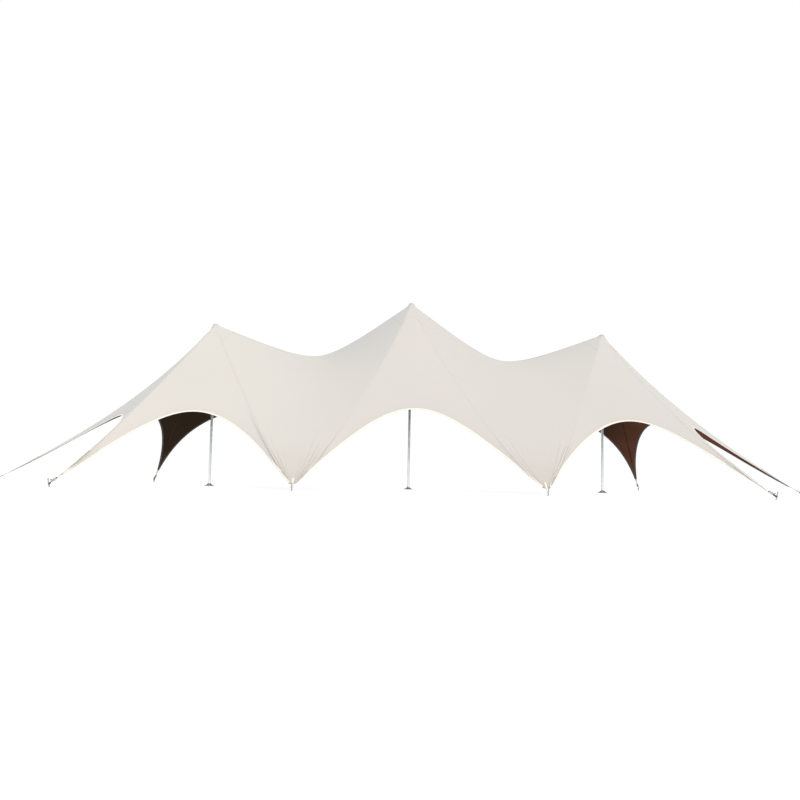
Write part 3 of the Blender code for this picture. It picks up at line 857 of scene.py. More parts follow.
def turned(profile, centre, sides=40):
    """Points and faces of a closed profile of radius and height turned about an upright axis."""
    points, faces = [], []
    rings = []
    for radius, height in profile:
        if radius < 1e-6:
            rings.append([len(points)] * sides)
            points.append((centre[0], centre[1], height))
            continue
        rings.append(list(range(len(points), len(points) + sides)))
        points.extend((*on_circle(centre, radius, side / sides), height) for side in range(sides))
    for low, high in zip(rings, rings[1:] + rings[:1]):
        for side in range(sides):
            after = (side + 1) % sides
            face = [low[side], low[after], high[after], high[side]]
            face = list(dict.fromkeys(face))
            if len(face) > 2:
                faces.append(face)
    return points, faces


# The canopy's net


def unit(vector):
    return vector / np.linalg.norm(vector)


def rounded_v(across, roundness):
    """0 in the middle and 1 at both ends: straight sides joined by a rounded bottom."""
    reach = math.sqrt(1.0 + roundness**2) - roundness
    return (np.sqrt(across**2 + roundness**2) - roundness) / reach


def even_steps(points, steps):
    """So many points at equal distances along a finely drawn line."""
    lengths = np.linalg.norm(np.diff(points, axis=0), axis=1)
    travelled = np.concatenate([[0.0], np.cumsum(lengths)])
    stops = np.linspace(0.0, travelled[-1], steps + 1)
    return np.column_stack([np.interp(stops, travelled, points[:, axis]) for axis in range(3)])


class Net:
    """The canopy's middle surface at some number of steps along each panel's side."""

    def __init__(self, plan, arches, steps):
        self.plan = plan
        self.arches = arches
        self.steps = steps
        rows = []
        for one in range(steps + 1):
            rows.extend((one, two, steps - one - two) for two in range(steps + 1 - one))
        self.rows = np.array(rows)
        corners = np.array([[LATTICE[corner] for corner in panel] for panel in PANELS.values()])
        places = np.einsum("rk,pkc->prc", self.rows, corners)
        keys = places[..., 0] * KEY_STEP + places[..., 1]
        self.keys, nodes = np.unique(keys, return_inverse=True)
        self.nodes = nodes.reshape(keys.shape)
        self.lookup = np.zeros((steps + 2, steps + 2), int)
        self.lookup[self.rows[:, 0], self.rows[:, 1]] = np.arange(len(rows))
        self.triangles = self.nodes[:, self.small_triangles()].reshape(-1, 3)
        self.points = np.zeros((len(self.keys), 3))
        self.held = np.zeros(len(self.keys), bool)
        self.place_lines()
        self.lay_out()

    def small_triangles(self):
        """The small triangles of one panel, counter-clockwise."""
        one, two, three = self.rows.T
        here = np.nonzero(three > 0)[0]
        ahead = self.lookup[one[here] + 1, two[here]]
        beside = self.lookup[one[here], two[here] + 1]
        inner = here[three[here] > 1]
        far = self.lookup[one[inner] + 1, two[inner] + 1]
        upright = np.stack([here, ahead, beside], axis=1)
        turned_over = np.stack(
            [self.lookup[one[inner] + 1, two[inner]], far, self.lookup[one[inner], two[inner] + 1]],
            axis=1,
        )
        return np.concatenate([upright, turned_over])

    def line(self, *stops):
        """The nodes along the sides of panels, from stop to stop."""
        nodes = []
        share = np.arange(self.steps + 1)
        for start, end in zip(stops, stops[1:]):
            first, last = np.array(LATTICE[start]), np.array(LATTICE[end])
            places = np.outer(self.steps - share, first) + np.outer(share, last)
            found = np.searchsorted(self.keys, places[:, 0] * KEY_STEP + places[:, 1])
            nodes.extend(found[1:] if nodes else found)
        return np.array(nodes)

    def spot(self, name):
        """World position of a tie-down or a peak."""
        plan = self.plan
        side = -1.0 if "left" in name else 1.0
        if name == "centre_peak":
            return np.array([0.0, 0.0, plan.centre_peak])
        if name in PEAKS:
            return np.array([side * plan.pole_spacing, 0.0, plan.side_peak])
        if name in ("left_end", "right_end"):
            return np.array([side * plan.end_reach, 0.0, plan.tie_height])
        reach = plan.inner_reach if "inner" in name else plan.corner_reach
        depth = plan.half_width if "back" in name else -plan.half_width
        return np.array([side * reach, depth, plan.tie_height])

    def hold(self, nodes, points):
        self.points[nodes] = points
        self.held[nodes] = True

    def rim_arch(self, start, end, label):
        """Hold a rim that rises between two tie-downs and draws in towards the tent."""
        rise, draw, lean, rise_round, draw_round = (
            getattr(self.arches, f"{label}_{part}") for part in ARCH_PARTS
        )
        share = np.linspace(0.0, 1.0, 20 * self.steps + 1)
        first, last = self.spot(start), self.spot(end)
        along = last - first
        inward = unit(np.array([-along[1], along[0], 0.0]))
        if inward @ (first + last) > 0.0:
            inward = -inward
        across = np.abs(2.0 * (share - lean * share * (1.0 - share)) - 1.0)
        points = first + np.outer(share, along)
        points += np.outer(draw * (1.0 - rounded_v(across, draw_round)), inward)
        points[:, 2] = self.plan.tie_height + rise * (1.0 - rounded_v(across, rise_round))
        self.hold(self.line(start, end), even_steps(points, self.steps))

    def back_rim(self):
        """Hold the long back rim: steep at its ends and nearly level between."""
        share = np.linspace(0.0, 1.0, 60 * self.steps + 1)
        first, last = self.spot("back_left"), self.spot("back_right")
        across = np.abs(2.0 * share - 1.0)
        points = first + np.outer(share, last - first)
        points[:, 1] -= self.arches.back_draw * (1.0 - across**self.arches.back_draw_power)
        points[:, 2] += self.arches.back_rise * (1.0 - across**self.arches.back_rise_power)
        stops = ("back_left", "back_rim_left", "back_rim_right", "back_right")
        self.hold(self.line(*stops), even_steps(points, 3 * self.steps))

    def crest(self, peak):
        """Hold the crest from the middle peak to another: two slopes and a rounded low point."""
        share = np.linspace(0.0, 1.0, self.steps + 1)
        first, last = self.spot("centre_peak"), self.spot(peak)
        points = first + np.outer(share, last - first)
        tops = np.where(share <= 0.5, first[2], last[2])
        bend = rounded_v(np.abs(1.0 - 2.0 * share), self.plan.crest_round)
        points[:, 2] = self.plan.crest_low + (tops - self.plan.crest_low) * bend
        self.hold(self.line("centre_peak", peak), points)

    def place_lines(self):
        """Put the rims and the crest in their places."""
        self.rim_arch("front_inner_left", "front_inner_right", "middle")
        for side in ("left", "right"):
            front, end = "front_" + side, side + "_end"
            self.rim_arch(front, "front_inner_" + side, "side")
            self.rim_arch(end, front, "end")
            self.rim_arch(end, "back_" + side, "rear_end")
            self.crest(side + "_peak")
        self.back_rim()

    def lay_out(self):
        """Spread the free nodes in plan, on straight lines from a peak across each panel."""
        outer = self.rows[:, 0] + self.rows[:, 1]
        place = self.steps * self.rows[:, 1] / np.maximum(outer, 1)
        steps = np.arange(self.steps + 1)
        for panel, corners in enumerate(PANELS.values()):
            line = self.line(*corners[:2])
            far = self.points[line]
            if not self.held[line].all():
                far = far[0] + np.outer(steps / self.steps, far[-1] - far[0])
            peak = self.points[self.centre(corners[2])]
            spots = np.column_stack([np.interp(place, steps, far[:, axis]) for axis in range(3)])
            spots = peak + (spots - peak) * (outer / self.steps)[:, None]
            nodes = self.nodes[panel]
            free = ~self.held[nodes]
            self.points[nodes[free]] = spots[free]

    def pulls(self, ridges):
        """Pairs of nodes and the pull between them: as in a membrane, and along the ridges."""
        firsts, seconds, strengths = [], [], []
        for turn in range(3):
            first, second, third = np.roll(self.triangles, -turn, axis=1).T
            near = self.points[first, :2] - self.points[third, :2]
            far = self.points[second, :2] - self.points[third, :2]
            cross = near[:, 0] * far[:, 1] - near[:, 1] * far[:, 0]
            firsts.append(first)
            seconds.append(second)
            strengths.append(0.5 * (near * far).sum(axis=1) / cross)
        for (start, end), strength in ridges.items():
            nodes = self.line(start, end)
            step = np.linalg.norm(np.diff(self.points[nodes, :2], axis=0), axis=1)
            firsts.append(nodes[:-1])
            seconds.append(nodes[1:])
            strengths.append(strength / step)
        first, second = np.concatenate(firsts), np.concatenate(seconds)
        pull = np.concatenate(strengths)
        return np.concatenate([first, second]), np.concatenate([second, first]), np.tile(pull, 2)

    def settle(self, ridges, rounds):
        """Let the heights of the free nodes settle where every upward pull is in balance."""
        first, second, pull = self.pulls(ridges)
        size = len(self.points)
        total = np.bincount(first, pull, size)

        def upward(heights):
            drawn = total * heights - np.bincount(first, pull * heights[second], size)
            return np.where(self.held, 0.0, drawn)

        heights = self.points[:, 2].copy()
        left = -upward(heights)
        eased = left / total
        way = eased.copy()
        size_left = left @ eased
        for _ in range(rounds):
            answer = upward(way)
            step = size_left / (way @ answer)
            heights += step * way
            left -= step * answer
            eased = left / total
            before, size_left = size_left, left @ eased
            if size_left < 1e-10:
                break
            way = eased + way * (size_left / before)
        self.points[:, 2] = heights

    def centre(self, name):
        """The node at a named point."""
        place = np.array(LATTICE[name]) * self.steps
        return np.searchsorted(self.keys, place[0] * KEY_STEP + place[1])

    def fan(self, name):
        """Nodes around a tie-down or peak, their place across the fan and their row from it."""
        wedges = []
        for panel, corners in enumerate(PANELS.values()):
            if name in corners:
                place = corners.index(name)
                order = [place, (place + 1) % 3, (place + 2) % 3]
                wedges.append((panel, order, corners[order[1]], corners[order[2]]))
        ends = [wedge[3] for wedge in wedges]
        starts = [wedge for wedge in wedges if wedge[2] not in ends]
        chain = [starts[0] if starts else wedges[0]]
        while len(chain) < len(wedges):
            chain.extend(wedge for wedge in wedges if wedge[2] == chain[-1][3])
        nodes, across, rows = [], [], []
        for wedge, (panel, order, _, _) in enumerate(chain):
            near, far = self.rows[:, order[1:]].T
            keep = near + far > 0
            nodes.append(self.nodes[panel][keep])
            across.append(wedge + far[keep] / (near + far)[keep])
            rows.append((near + far)[keep])
        return np.concatenate(nodes), np.concatenate(across), np.concatenate(rows)


class Canopy(Net):
    """The finished cloth: a fine net with seats over the poles, folds, normals and faces."""

    def __init__(self, plan, arches, cloth):
        super().__init__(plan, arches, cloth.fine_steps)
        ridges = {}
        for tie, peak in LEG_SEAMS.items():
            label = "back_pull" if "back" in tie else tie + "_pull"
            ridges[(peak, tie)] = getattr(cloth, label)
        for peak, tie in INNER_SEAMS:
            middle = peak == "centre_peak"
            ridges[(peak, tie)] = cloth.centre_pull if middle else cloth.inner_pull
        self.coarse = Net(plan, arches, cloth.coarse_steps)
        self.settle(ridges, cloth.rounds)
        for name in PEAKS:
            self.seat(name, cloth)
        self.hung_area = self.area()
        self.reach = np.full(len(self.points), OUT_OF_REACH)
        self.across = np.zeros(len(self.points))
        lift = np.zeros(len(self.points))
        for name in TIES:
            lift += self.folds_at(name, cloth.fold_peak)
        self.points += self.normals() * lift[:, None]
        self.facing = self.normals()
        self.cut = self.cut_nodes()

    def seat(self, name, cloth):
        """Flatten the cloth over a pole's head."""
        top = self.spot(name)
        top[2] += cloth.thickness / 2.0
        self.points[self.centre(name)] = top
        nodes, _, rows = self.fan(name)
        for node in nodes[rows == 1]:
            away = self.points[node] - top
            away[2] = 0.0
            self.points[node] = top + unit(away) * cloth.seat_radius
        for node, row in zip(nodes[rows > 1], rows[rows > 1]):
            away = self.points[node] - top
            reach = np.linalg.norm(away[:2])
            least = cloth.seat_radius * (0.8 + 0.2 * row)
            if reach < least:
                self.points[node] = top + away * (least / reach)

    def crosses(self):
        """For each small triangle its normal, as long as twice its area."""
        first, second, third = (self.points[corner] for corner in self.triangles.T)
        return np.cross(second - first, third - first)

    def normals(self):
        """Unit normals of the cloth at its nodes."""
        across = self.crosses()
        total = np.zeros_like(self.points)
        for corner in self.triangles.T:
            np.add.at(total, corner, across)
        return total / np.linalg.norm(total, axis=1, keepdims=True)

    def area(self):
        """The cloth's area as it hangs."""
        return float(np.linalg.norm(self.crosses(), axis=1).sum() / 2.0)

    def folds_at(self, name, fold_peak):
        """Heights of the folds that fan out from a tie-down."""
        nodes, across, _ = self.fan(name)
        away = np.linalg.norm(self.points[nodes] - self.spot(name), axis=1)
        near = away < self.reach[nodes]
        self.reach[nodes[near]] = away[near]
        counted = across.max() - across if name in MIRRORED_FANS else across
        self.across[nodes[near]] = counted[near]
        height = np.zeros(len(nodes))
        for near_place, far_place, width, length, size in FOLDS[name]:
            run = np.clip(away / length, 0.0, 1.0)
            swell = np.sin(math.pi * run**fold_peak)
            place = near_place + (far_place - near_place) * run
            height += size * swell * np.exp(-(((across - place) / width) ** 2))
        lift = np.zeros(len(self.points))
        lift[nodes] = height
        return lift

    def cut_nodes(self):
        """Nodes nearer to a tie-down than where the cloth ends."""
        cut = np.zeros(len(self.points), bool)
        for name in TIES:
            nodes, _, rows = self.fan(name)
            cut[nodes[rows < self.first_row(name)]] = True
            cut[self.centre(name)] = True
        return cut

    def sheet(self, name, keep=None):
        """A mesh of the cloth's middle surface, or of the nodes of it that are kept."""
        good = ~self.cut[self.triangles].any(axis=1)
        if keep is not None:
            good &= keep[self.triangles].all(axis=1)
        used, corners = np.unique(self.triangles[good], return_inverse=True)
        corners = corners.reshape(-1, 3)
        mesh = bpy.data.meshes.new(name)
        mesh.from_pydata(self.points[used].tolist(), [], corners.tolist())
        layer = mesh.uv_layers.new(name="Cloth")
        plan_places = self.points[used][corners.ravel(), :2]
        layer.data.foreach_set("uv", plan_places.astype(np.float32).ravel())
        store(mesh, "reach", self.reach[used])
        store(mesh, "fan", self.across[used])
        store(mesh, "hem", self.hem_away[used])
        # How far the cloth faces left, which sets where shade is painted on its outer face
        store(mesh, "leftward", -self.facing[used, 0])
        return mesh

    @cached_property
    def hem_away(self):
        """Distance of every node to the nearest free edge."""
        rim = np.concatenate([self.line(*stops) for stops in RIMS])
        tree = kdtree.KDTree(len(rim))
        for place, node in enumerate(rim):
            tree.insert(self.points[node], place)
        tree.balance()
        return np.array([tree.find(point)[2] for point in self.points])

    @cached_property
    def thirds(self):
        """A number for each edge of the triangles, sorted, and the corner on its left."""
        after, third = (np.roll(self.triangles, -places, axis=1) for places in (1, 2))
        keys = (self.triangles * len(self.points) + after).ravel()
        order = np.argsort(keys)
        return keys[order], third.ravel()[order]

    def beside(self, first, second):
        """The corner to the left of each edge of the net."""
        keys, thirds = self.thirds
        return thirds[np.searchsorted(keys, first * len(self.points) + second)]

    def slopes(self, nodes):
        """How the cloth leaves a seam on its left and right, and the ways both sides face."""
        spots = self.points[nodes]
        run = np.gradient(spots, axis=0)
        run /= np.linalg.norm(run, axis=1, keepdims=True)
        sides = []
        for ends in ((nodes[:-1], nodes[1:]), (nodes[1:], nodes[:-1])):
            corner = self.points[self.beside(*ends)]
            corner = np.concatenate([corner[:1], (corner[1:] + corner[:-1]) / 2.0, corner[-1:]])
            away = corner - spots
            away -= run * np.sum(away * run, axis=1, keepdims=True)
            sides.append(away / np.linalg.norm(away, axis=1, keepdims=True))
        return sides[0], sides[1], np.cross(run, sides[0]), np.cross(sides[1], run)

    def path(self, nodes):
        """A path along nodes, leaving out those that webbing takes."""
        nodes = nodes[~self.cut[nodes]]
        return self.points[nodes], self.facing[nodes], False

    def first_row(self, name):
        """The row of the net where the cloth begins at a tie-down."""
        sizes = bpy.context.scene.tent_cloth
        return sizes.inner_cut if name in INNER_TIES else sizes.leg_cut

    def patch_row(self, name):
        """The row of the net where a doubled patch ends."""
        sizes = bpy.context.scene.tent_cloth
        if name in PEAKS:
            return sizes.peak_patch
        return sizes.inner_patch if name in INNER_TIES else sizes.leg_patch

    def row(self, name, row):
        """The nodes of one row of a fan and their places across it, in order."""
        nodes, across, rows = self.fan(name)
        nodes, across = nodes[rows == row], across[rows == row]
        order = np.argsort(across)
        return nodes[order], across[order]

    def across_middle(self, name, row):
        """The middle of a row in a corner of the cloth, and the way it faces."""
        nodes, across = self.row(name, row)
        middle = (across[0] + across[-1]) / 2.0
        spot = [np.interp(middle, across, self.points[nodes, axis]) for axis in range(3)]
        way = [np.interp(middle, across, self.facing[nodes, axis]) for axis in range(3)]
        return np.array(spot), unit(np.array(way))

    def near(self, name, limit):
        """The nodes up to so many rows from a tie-down or peak."""
        nodes, _, rows = self.fan(name)
        keep = np.zeros(len(self.points), bool)
        keep[nodes[rows <= limit]] = True
        keep[self.centre(name)] = True
        return keep

    def row_path(self, name, row, clear=0.0):
        """A path across the fan at one row from a tie-down or peak, so far clear of the rims."""
        nodes = dict.fromkeys(self.row(name, row)[0].tolist())
        found = [node for node in nodes if self.hem_away[node] >= clear]
        return self.points[found], self.facing[found], name in PEAKS


@cache
def canopy():
    """The finished cloth, worked out once."""
    scene = bpy.context.scene
    return Canopy(scene.tent_plan, scene.tent_arches, scene.tent_cloth)


# Finishes


def colours():
    """The colours that the user has chosen."""
    return bpy.context.scene.tent_colours


def dimmed(tone, share):
    """A colour at a share of its brightness; above 1 it is lighter."""
    return tuple(share * part for part in tone)


@cache
def cream_cloth():
    """Outer face: a knitted coating with faint clouds, greyer towards the right, painted shade on
    the slopes that face left, dust and fine creases.
    """
    look = colours()
    paint = Paint("cream_cloth", roughness=0.62, sheen_weight=0.15, sheen_roughness=0.5)
    place = paint.place()
    clouds = paint.noise(place, 0.35, 3.0, 0.6)
    streaks = paint.noise(place, 2.2, 4.0, 0.6)
    # More of the greyer clouds towards the right
    greyer_rightward = 1.0 - paint.along_x(place).fades(-5.0, -1.0)
    tone = paint.mix(clouds * 0.5 + greyer_rightward * 0.5, look.cream, look.cloud)
    # Painted shade: slopes that face left are painted grey, as shade would darken them
    painted_left_shade = 1.0 - paint.attribute("leftward").fades(0.05, 0.45)
    tone = paint.mix(painted_left_shade * 0.9, tone, look.painted_left_shade)
    reach = paint.attribute("reach")
    hem = paint.attribute("hem")
    dust = reach.fades(0.2, 2.2) * 0.32 + hem.fades(0.0, 0.35) * 0.10
    tone = paint.mix(dust * (0.4 + streaks * 1.1), tone, look.soil)
    paint.set("Base Color", tone)
    paint.set("Roughness", 0.56 + clouds * 0.12)
    puckers = paint.noise(place, 24.0, 2.0) * hem.fades(0.03, 0.16)
    knit = paint.waves(place, 95.0, "X") * paint.waves(place, 70.0, "Z")
    paint.bump(creases(paint, place, reach) + puckers * 0.0024 + knit * 0.0004, 1.0)
    return paint.material


def creases(paint, place, reach):
    """Height of the fine creases that fan out from the tie-downs."""
    fan = paint.attribute("fan") + (paint.noise(place, 0.7) - 0.5) * 0.10
    ramps = []
    for first in range(0, len(CREASES), CREASES_A_RAMP):
        stops = []
        for middle, half, rise in CREASES[first : first + CREASES_A_RAMP]:
            stops.append(((middle - half) / 3.0, 0.0))
            stops.append((middle / 3.0, rise))
            stops.append(((middle + half) / 3.0, 0.0))
        ramps.append(paint.ramp(fan / 3.0, stops))
    height = sum(ramps[1:], ramps[0])
    patchy = paint.noise(place, 1.3) * 1.4
    return height * patchy * reach.fades(0.8, 3.4) * 0.018


@cache
def brown_lining():
    """Inner face: a dark brown knit, with painted light: a redder brown towards the right, as if
    lit through.
    """
    look = colours()
    paint = Paint("brown_lining", roughness=0.8, specular_ior_level=0.04)
    place = paint.place()
    reach = paint.attribute("reach")
    clouds = paint.noise(place, 0.5, 3.0, 0.55)
    # Painted light: towards the right the lining is painted redder, as if the sun shone through it
    painted_light = 1.0 - paint.along_x(place).fades(6.5, 8.6)
    tone = paint.mix(clouds * (0.15 + painted_light * 1.35), look.lining, look.lining_warm)
    dust = reach.fades(0.2, 1.6) * 0.25
    paint.set("Base Color", paint.mix(dust * clouds * 1.4, tone, look.soil))
    paint.set("Roughness", 0.74 + clouds * 0.14)
    knit = paint.waves(place, 80.0, "X") * paint.waves(place, 60.0, "Z")
    paint.bump(knit * 0.0005 + creases(paint, place, reach), 1.0)
    return paint.material


def woven_band(name, base, shade, worn=0.22, shine=0.5, sheen=0.12, inside=None):
    """Webbing with ribs along it, a fine weave across it, and another colour inside if given."""
    paint = Paint(name, roughness=0.7, sheen_weight=sheen, sheen_roughness=0.5)
    paint.set("Specular IOR Level", shine)
    along = paint.attribute("along")
    across = paint.attribute("across")
    ribs = (across * 1250.0).sine()
    picks = (along * 1900.0).sine()
    grime = paint.noise(paint.place(), 9.0, 3.0, 0.6)
    tone = paint.mix(worn + ribs * 0.12 + grime * 0.35, base, shade)
    if inside:
        tone = paint.mix(paint.attribute("depth").fades(-0.001, 0.001), tone, inside)
    paint.set("Base Color", tone)
    paint.set("Roughness", 0.64 + grime * 0.16)
    paint.bump(ribs * 0.5 + ribs * picks * 0.3, 0.0004)
    return paint.material


@cache
def binding_webbing():
    """Hem binding and corner webbing: light outside, the lining's brown inside."""
    look = colours()
    return woven_band("binding_webbing", look.binding, look.soil, 0.0, inside=look.lining)


@cache
def cream_tape():
    """Seam tape on the outer face."""
    look = colours()
    return woven_band("cream_tape", look.cream, look.cloud, sheen=0.15)


@cache
def lining_tape():
    """Seam tape on the lining, as dark and matt as it is."""
    look = colours()
    return woven_band("lining_tape", look.lining, look.lining_warm, 0.0, 0.04, 0.0)


@cache
def strap_webbing():
    """Dark polyester webbing of the ratchet straps."""
    look = colours()
    return woven_band("strap_webbing", look.strap, dimmed(look.strap, 3.0))


@cache
def sewing_thread():
    """Bonded polyester thread with a slight twist."""
    look = colours()
    paint = Paint("sewing_thread", roughness=0.5)
    twist = paint.noise(paint.place(), 400.0)
    paint.set("Base Color", paint.mix(twist, look.cloud, look.soil))
    paint.set("Roughness", 0.42 + twist * 0.2)
    return paint.material


def zinc_coat(name, base, dull):
    """Hot-dip zinc: soft spangles, dull patches and rust and soil near the ground."""
    paint = Paint(name, roughness=0.45, metallic=1.0)
    place = paint.place()
    spangle = paint.node(
        "ShaderNodeTexVoronoi", inputs={"Vector": place, "Scale": 160.0}, output="Color"
    )
    grain = paint.node("ShaderNodeSeparateColor", inputs={"Color": spangle}, output="Red")
    patches = paint.noise(place, 22.0, 3.0, 0.6)
    height = paint.node("ShaderNodeSeparateXYZ", inputs={"Vector": place}, output="Z")
    soil = height.fades(0.0, 0.06) * (0.3 + patches * 0.9)
    tone = paint.mix(grain * 0.35 + patches * 0.4, base, dimmed(base, 0.7))
    paint.set("Base Color", paint.mix(soil, tone, (0.16, 0.115, 0.08)))
    paint.set("Metallic", 1.0 - soil * 0.9)
    paint.set("Roughness", dull + grain * 0.12 + patches * 0.15 + soil * 0.2)
    paint.bump(patches * 0.6 + grain * 0.4, 0.0004)
    return paint.material


@cache
def dull_zinc():
    """Stakes and base plates."""
    return zinc_coat("dull_zinc", tuple(colours().zinc), 0.38)


@cache
def bright_zinc():
    """Rings, ratchets, clamps and bolts."""
    return zinc_coat("bright_zinc", tuple(colours().bright), 0.22)


@cache
def drawn_alloy():
    """Mill-finished tube: fine lines along it, scuffs and handling marks."""
    look = colours()
    paint = Paint("drawn_alloy", roughness=0.35, metallic=1.0)
    place = paint.place()
    stretched = paint.vector_maths("MULTIPLY", place, (60.0, 60.0, 1.5))
    lines = paint.noise(stretched, 6.0, 3.0, 0.65)
    scuffs = paint.noise(place, 14.0, 4.0, 0.7)
    dark = dimmed(look.alloy, 0.62)
    paint.set("Base Color", paint.mix(lines * 0.5 + scuffs * 0.25, look.alloy, dark))
    paint.set("Roughness", 0.24 + lines * 0.18 + scuffs * 0.12)
    paint.bump(lines, 0.00015)
    return paint.material


@cache
def moulded_rubber():
    """Matt black rubber, greyed where it rubs."""
    look = colours()
    paint = Paint("moulded_rubber", roughness=0.7)
    place = paint.place()
    bloom = paint.noise(place, 30.0, 4.0, 0.6)
    grain = paint.noise(place, 900.0)
    paint.set("Base Color", paint.mix(bloom * 0.5, look.rubber, (0.09, 0.088, 0.085)))
    paint.set("Roughness", 0.6 + bloom * 0.25)
    paint.bump(grain + bloom * 0.5, 0.0002)
    return paint.material


@cache
def cap_plastic():
    """Light grey moulded cap with a fine grain."""
    look = colours()
    paint = Paint("cap_plastic", roughness=0.45)
    place = paint.place()
    grain = paint.noise(place, 700.0)
    stain = paint.noise(place, 12.0, 3.0, 0.6)
    paint.set("Base Color", paint.mix(stain * 0.6, look.cap, dimmed(look.cap, 0.72)))
    paint.set("Roughness", 0.38 + stain * 0.2)
    paint.bump(grain, 0.00012)
    return paint.material


# Shapes shared by the small pieces


class Place:
    """A local frame in the tent: X along one way, Z as near as it can be to another."""

    def __init__(self, origin, along, up):
        first = unit(np.asarray(along, float))
        second = unit(np.cross(up, first))
        self.axes = np.stack([first, second, np.cross(first, second)])
        self.origin = np.asarray(origin, float)

    def at(self, points):
        """World places of local points."""
        return self.origin + np.asarray(points, float) @ self.axes

    def way(self, ways):
        """World directions of local ones."""
        return np.asarray(ways, float) @ self.axes

    def along(self, spot):
        """How far a world spot is along the local X."""
        return (self.axes @ (spot - self.origin))[0]


class Mould:
    """Collects closed shapes into one piece, in a local frame if it has one."""

    def __init__(self, place=None):
        self.place = place
        self.points = []
        self.faces = []

    def add(self, points, faces):
        first = len(self.points)
        self.points.extend(self.place.at(points) if self.place else points)
        self.faces.extend([first + corner for corner in face] for face in faces)

    def plate(self, outline, low, high):
        """An outline in X and Z, given thickness from low to high along Y, its edges eased."""
        outline = np.array(outline)
        ease = min(0.0008, (high - low) * 0.3)
        small = outline + ease * inward_ways(outline)
        rings = ((low, small), (low + ease, outline), (high - ease, outline), (high, small))
        points = [(x, y, z) for y, ring in rings for x, z in ring]
        self.add(points, ringed_faces(len(outline)))

    def pin(self, centre, radius, low, high, sides=20):
        """A round pin along Y with eased ends."""
        ease = min(radius * 0.25, (high - low) * 0.3)
        small = radius - ease
        points = []
        for y, size in ((low, small), (low + ease, radius), (high - ease, radius), (high, small)):
            for side in range(sides):
                x, z = on_circle(centre, size, side / sides)
                points.append((x, y, z))
        self.add(points, ringed_faces(sides))

    def sleeve(self, axis, profile, level):
        """A ring round an upright axis, from its outline above some level."""
        self.add(*turned([(radius, level + height) for radius, height in profile], axis))

    def piece(self, name, material, slot, sharp=35.0):
        """The finished piece."""
        settle(solid(name, self.points, self.faces, material), slot, sharp=sharp)


def ringed_faces(corners):
    """Faces of a closed shape of four rings of corners: its two ends and the bands between."""
    faces = [list(range(corners)), list(range(3 * corners, 4 * corners))[::-1]]
    for level in range(3):
        low, high = level * corners, (level + 1) * corners
        for side in range(corners):
            after = (side + 1) % corners
            faces.append([low + side, high + side, high + after, low + after])
    return faces


def inward_ways(outline):
    """Directions into a closed outline at its corners."""
    before = np.roll(outline, 1, axis=0)
    after = np.roll(outline, -1, axis=0)
    run = after - before
    ways = np.column_stack([-run[:, 1], run[:, 0]])
    ways /= np.linalg.norm(ways, axis=1, keepdims=True)
    turn = np.sum(outline[:, 0] * after[:, 1] - after[:, 0] * outline[:, 1])
    return ways if turn > 0.0 else -ways


def slid(outline, along):
    """An outline slid along X."""
    return [(along + x, z) for x, z in outline]


def toothed(centre, teeth, inner, outer):
    """Outline of a ratchet wheel."""
    outline = []
    for tooth in range(teeth):
        for share, radius in ((0.0, inner), (0.25, outer), (0.45, outer), (0.62, inner)):
            outline.append(on_circle(centre, radius, (tooth + share) / teeth))
    return outline


def tie_line(name):
    """A tie-down's local frame, from its stake up to the cloth, and the length between them."""
    cloth = canopy()
    tie = cloth.spot(name)
    points = cloth.row_path(name, cloth.first_row(name))[0]
    middle = cloth.across_middle(name, cloth.first_row(name))[0]
    run = middle - tie
    sideways = points[-1] - points[0]
    place = Place(tie, run, np.cross(run, sideways))
    if place.axes[2, 2] < 0.0:
        place = Place(tie, run, np.cross(sideways, run))
    return place, float(np.linalg.norm(run))


# Operators


def cloth_shell(name, mesh, thickness, *replaced):
    """A piece of cloth from its middle surface, with its outer face, lining and cut edge."""
    values = {
        "Thickness": thickness,
        "Outer": cream_cloth(),
        "Lining": brown_lining(),
        "Edge": binding_webbing(),
    }
    settle(grow(name, mesh, shell_tree(), values), "canopy_cloth", *replaced, sharp=60.0)


class TENT_OT_canopy(bpy.types.Operator):
    """Make the sheet of cloth over the poles"""

    bl_idname = "tent.canopy"
    bl_label = "Canopy"

    def execute(self, context):
        thickness = context.scene.tent_cloth.thickness
        cloth_shell("canopy", canopy().sheet("canopy"), thickness, *PANELS)
        return {"FINISHED"}


class TENT_OT_doublings(bpy.types.Operator):
    """Make the doubled cloth over the pole heads and in the corners"""

    bl_idname = "tent.doublings"
    bl_label = "Doubled cloth"

    def execute(self, context):
        sizes = context.scene.tent_cloth
        cloth = canopy()
        thickness = sizes.thickness + 2.0 * sizes.patch_proud
        for name in PEAKS + TIES:
            label = name + "_doubling"
            mesh = cloth.sheet(label, cloth.near(name, cloth.patch_row(name)))
            replaced = (name.replace("peak", "peak_patch"),) if name in PEAKS else ()
            cloth_shell(label, mesh, thickness, *replaced)
        return {"FINISHED"}


def hem_paths():
    """Paths along the free edges, with the cloth on their left."""
    cloth = canopy()
    return [cloth.path(cloth.line(*stops)) for stops in RIMS]


def seam_lines():
    """The nodes along each seam, from the patches at the peaks to the corners."""
    cloth = canopy()
    patch = bpy.context.scene.tent_cloth.peak_patch
    stops = [(peak, tie) for tie, peak in LEG_SEAMS.items()]
    stops.extend(INNER_SEAMS + BACK_SEAMS + CRESTS)
    lines = []
    for start, end in stops:
        nodes = cloth.line(start, end)[patch - 1 :]
        if end in PEAKS:
            nodes = nodes[: 1 - patch]
        elif end in TIES:
            nodes = nodes[: -cloth.patch_row(end)]
        lines.append(nodes)
    return lines


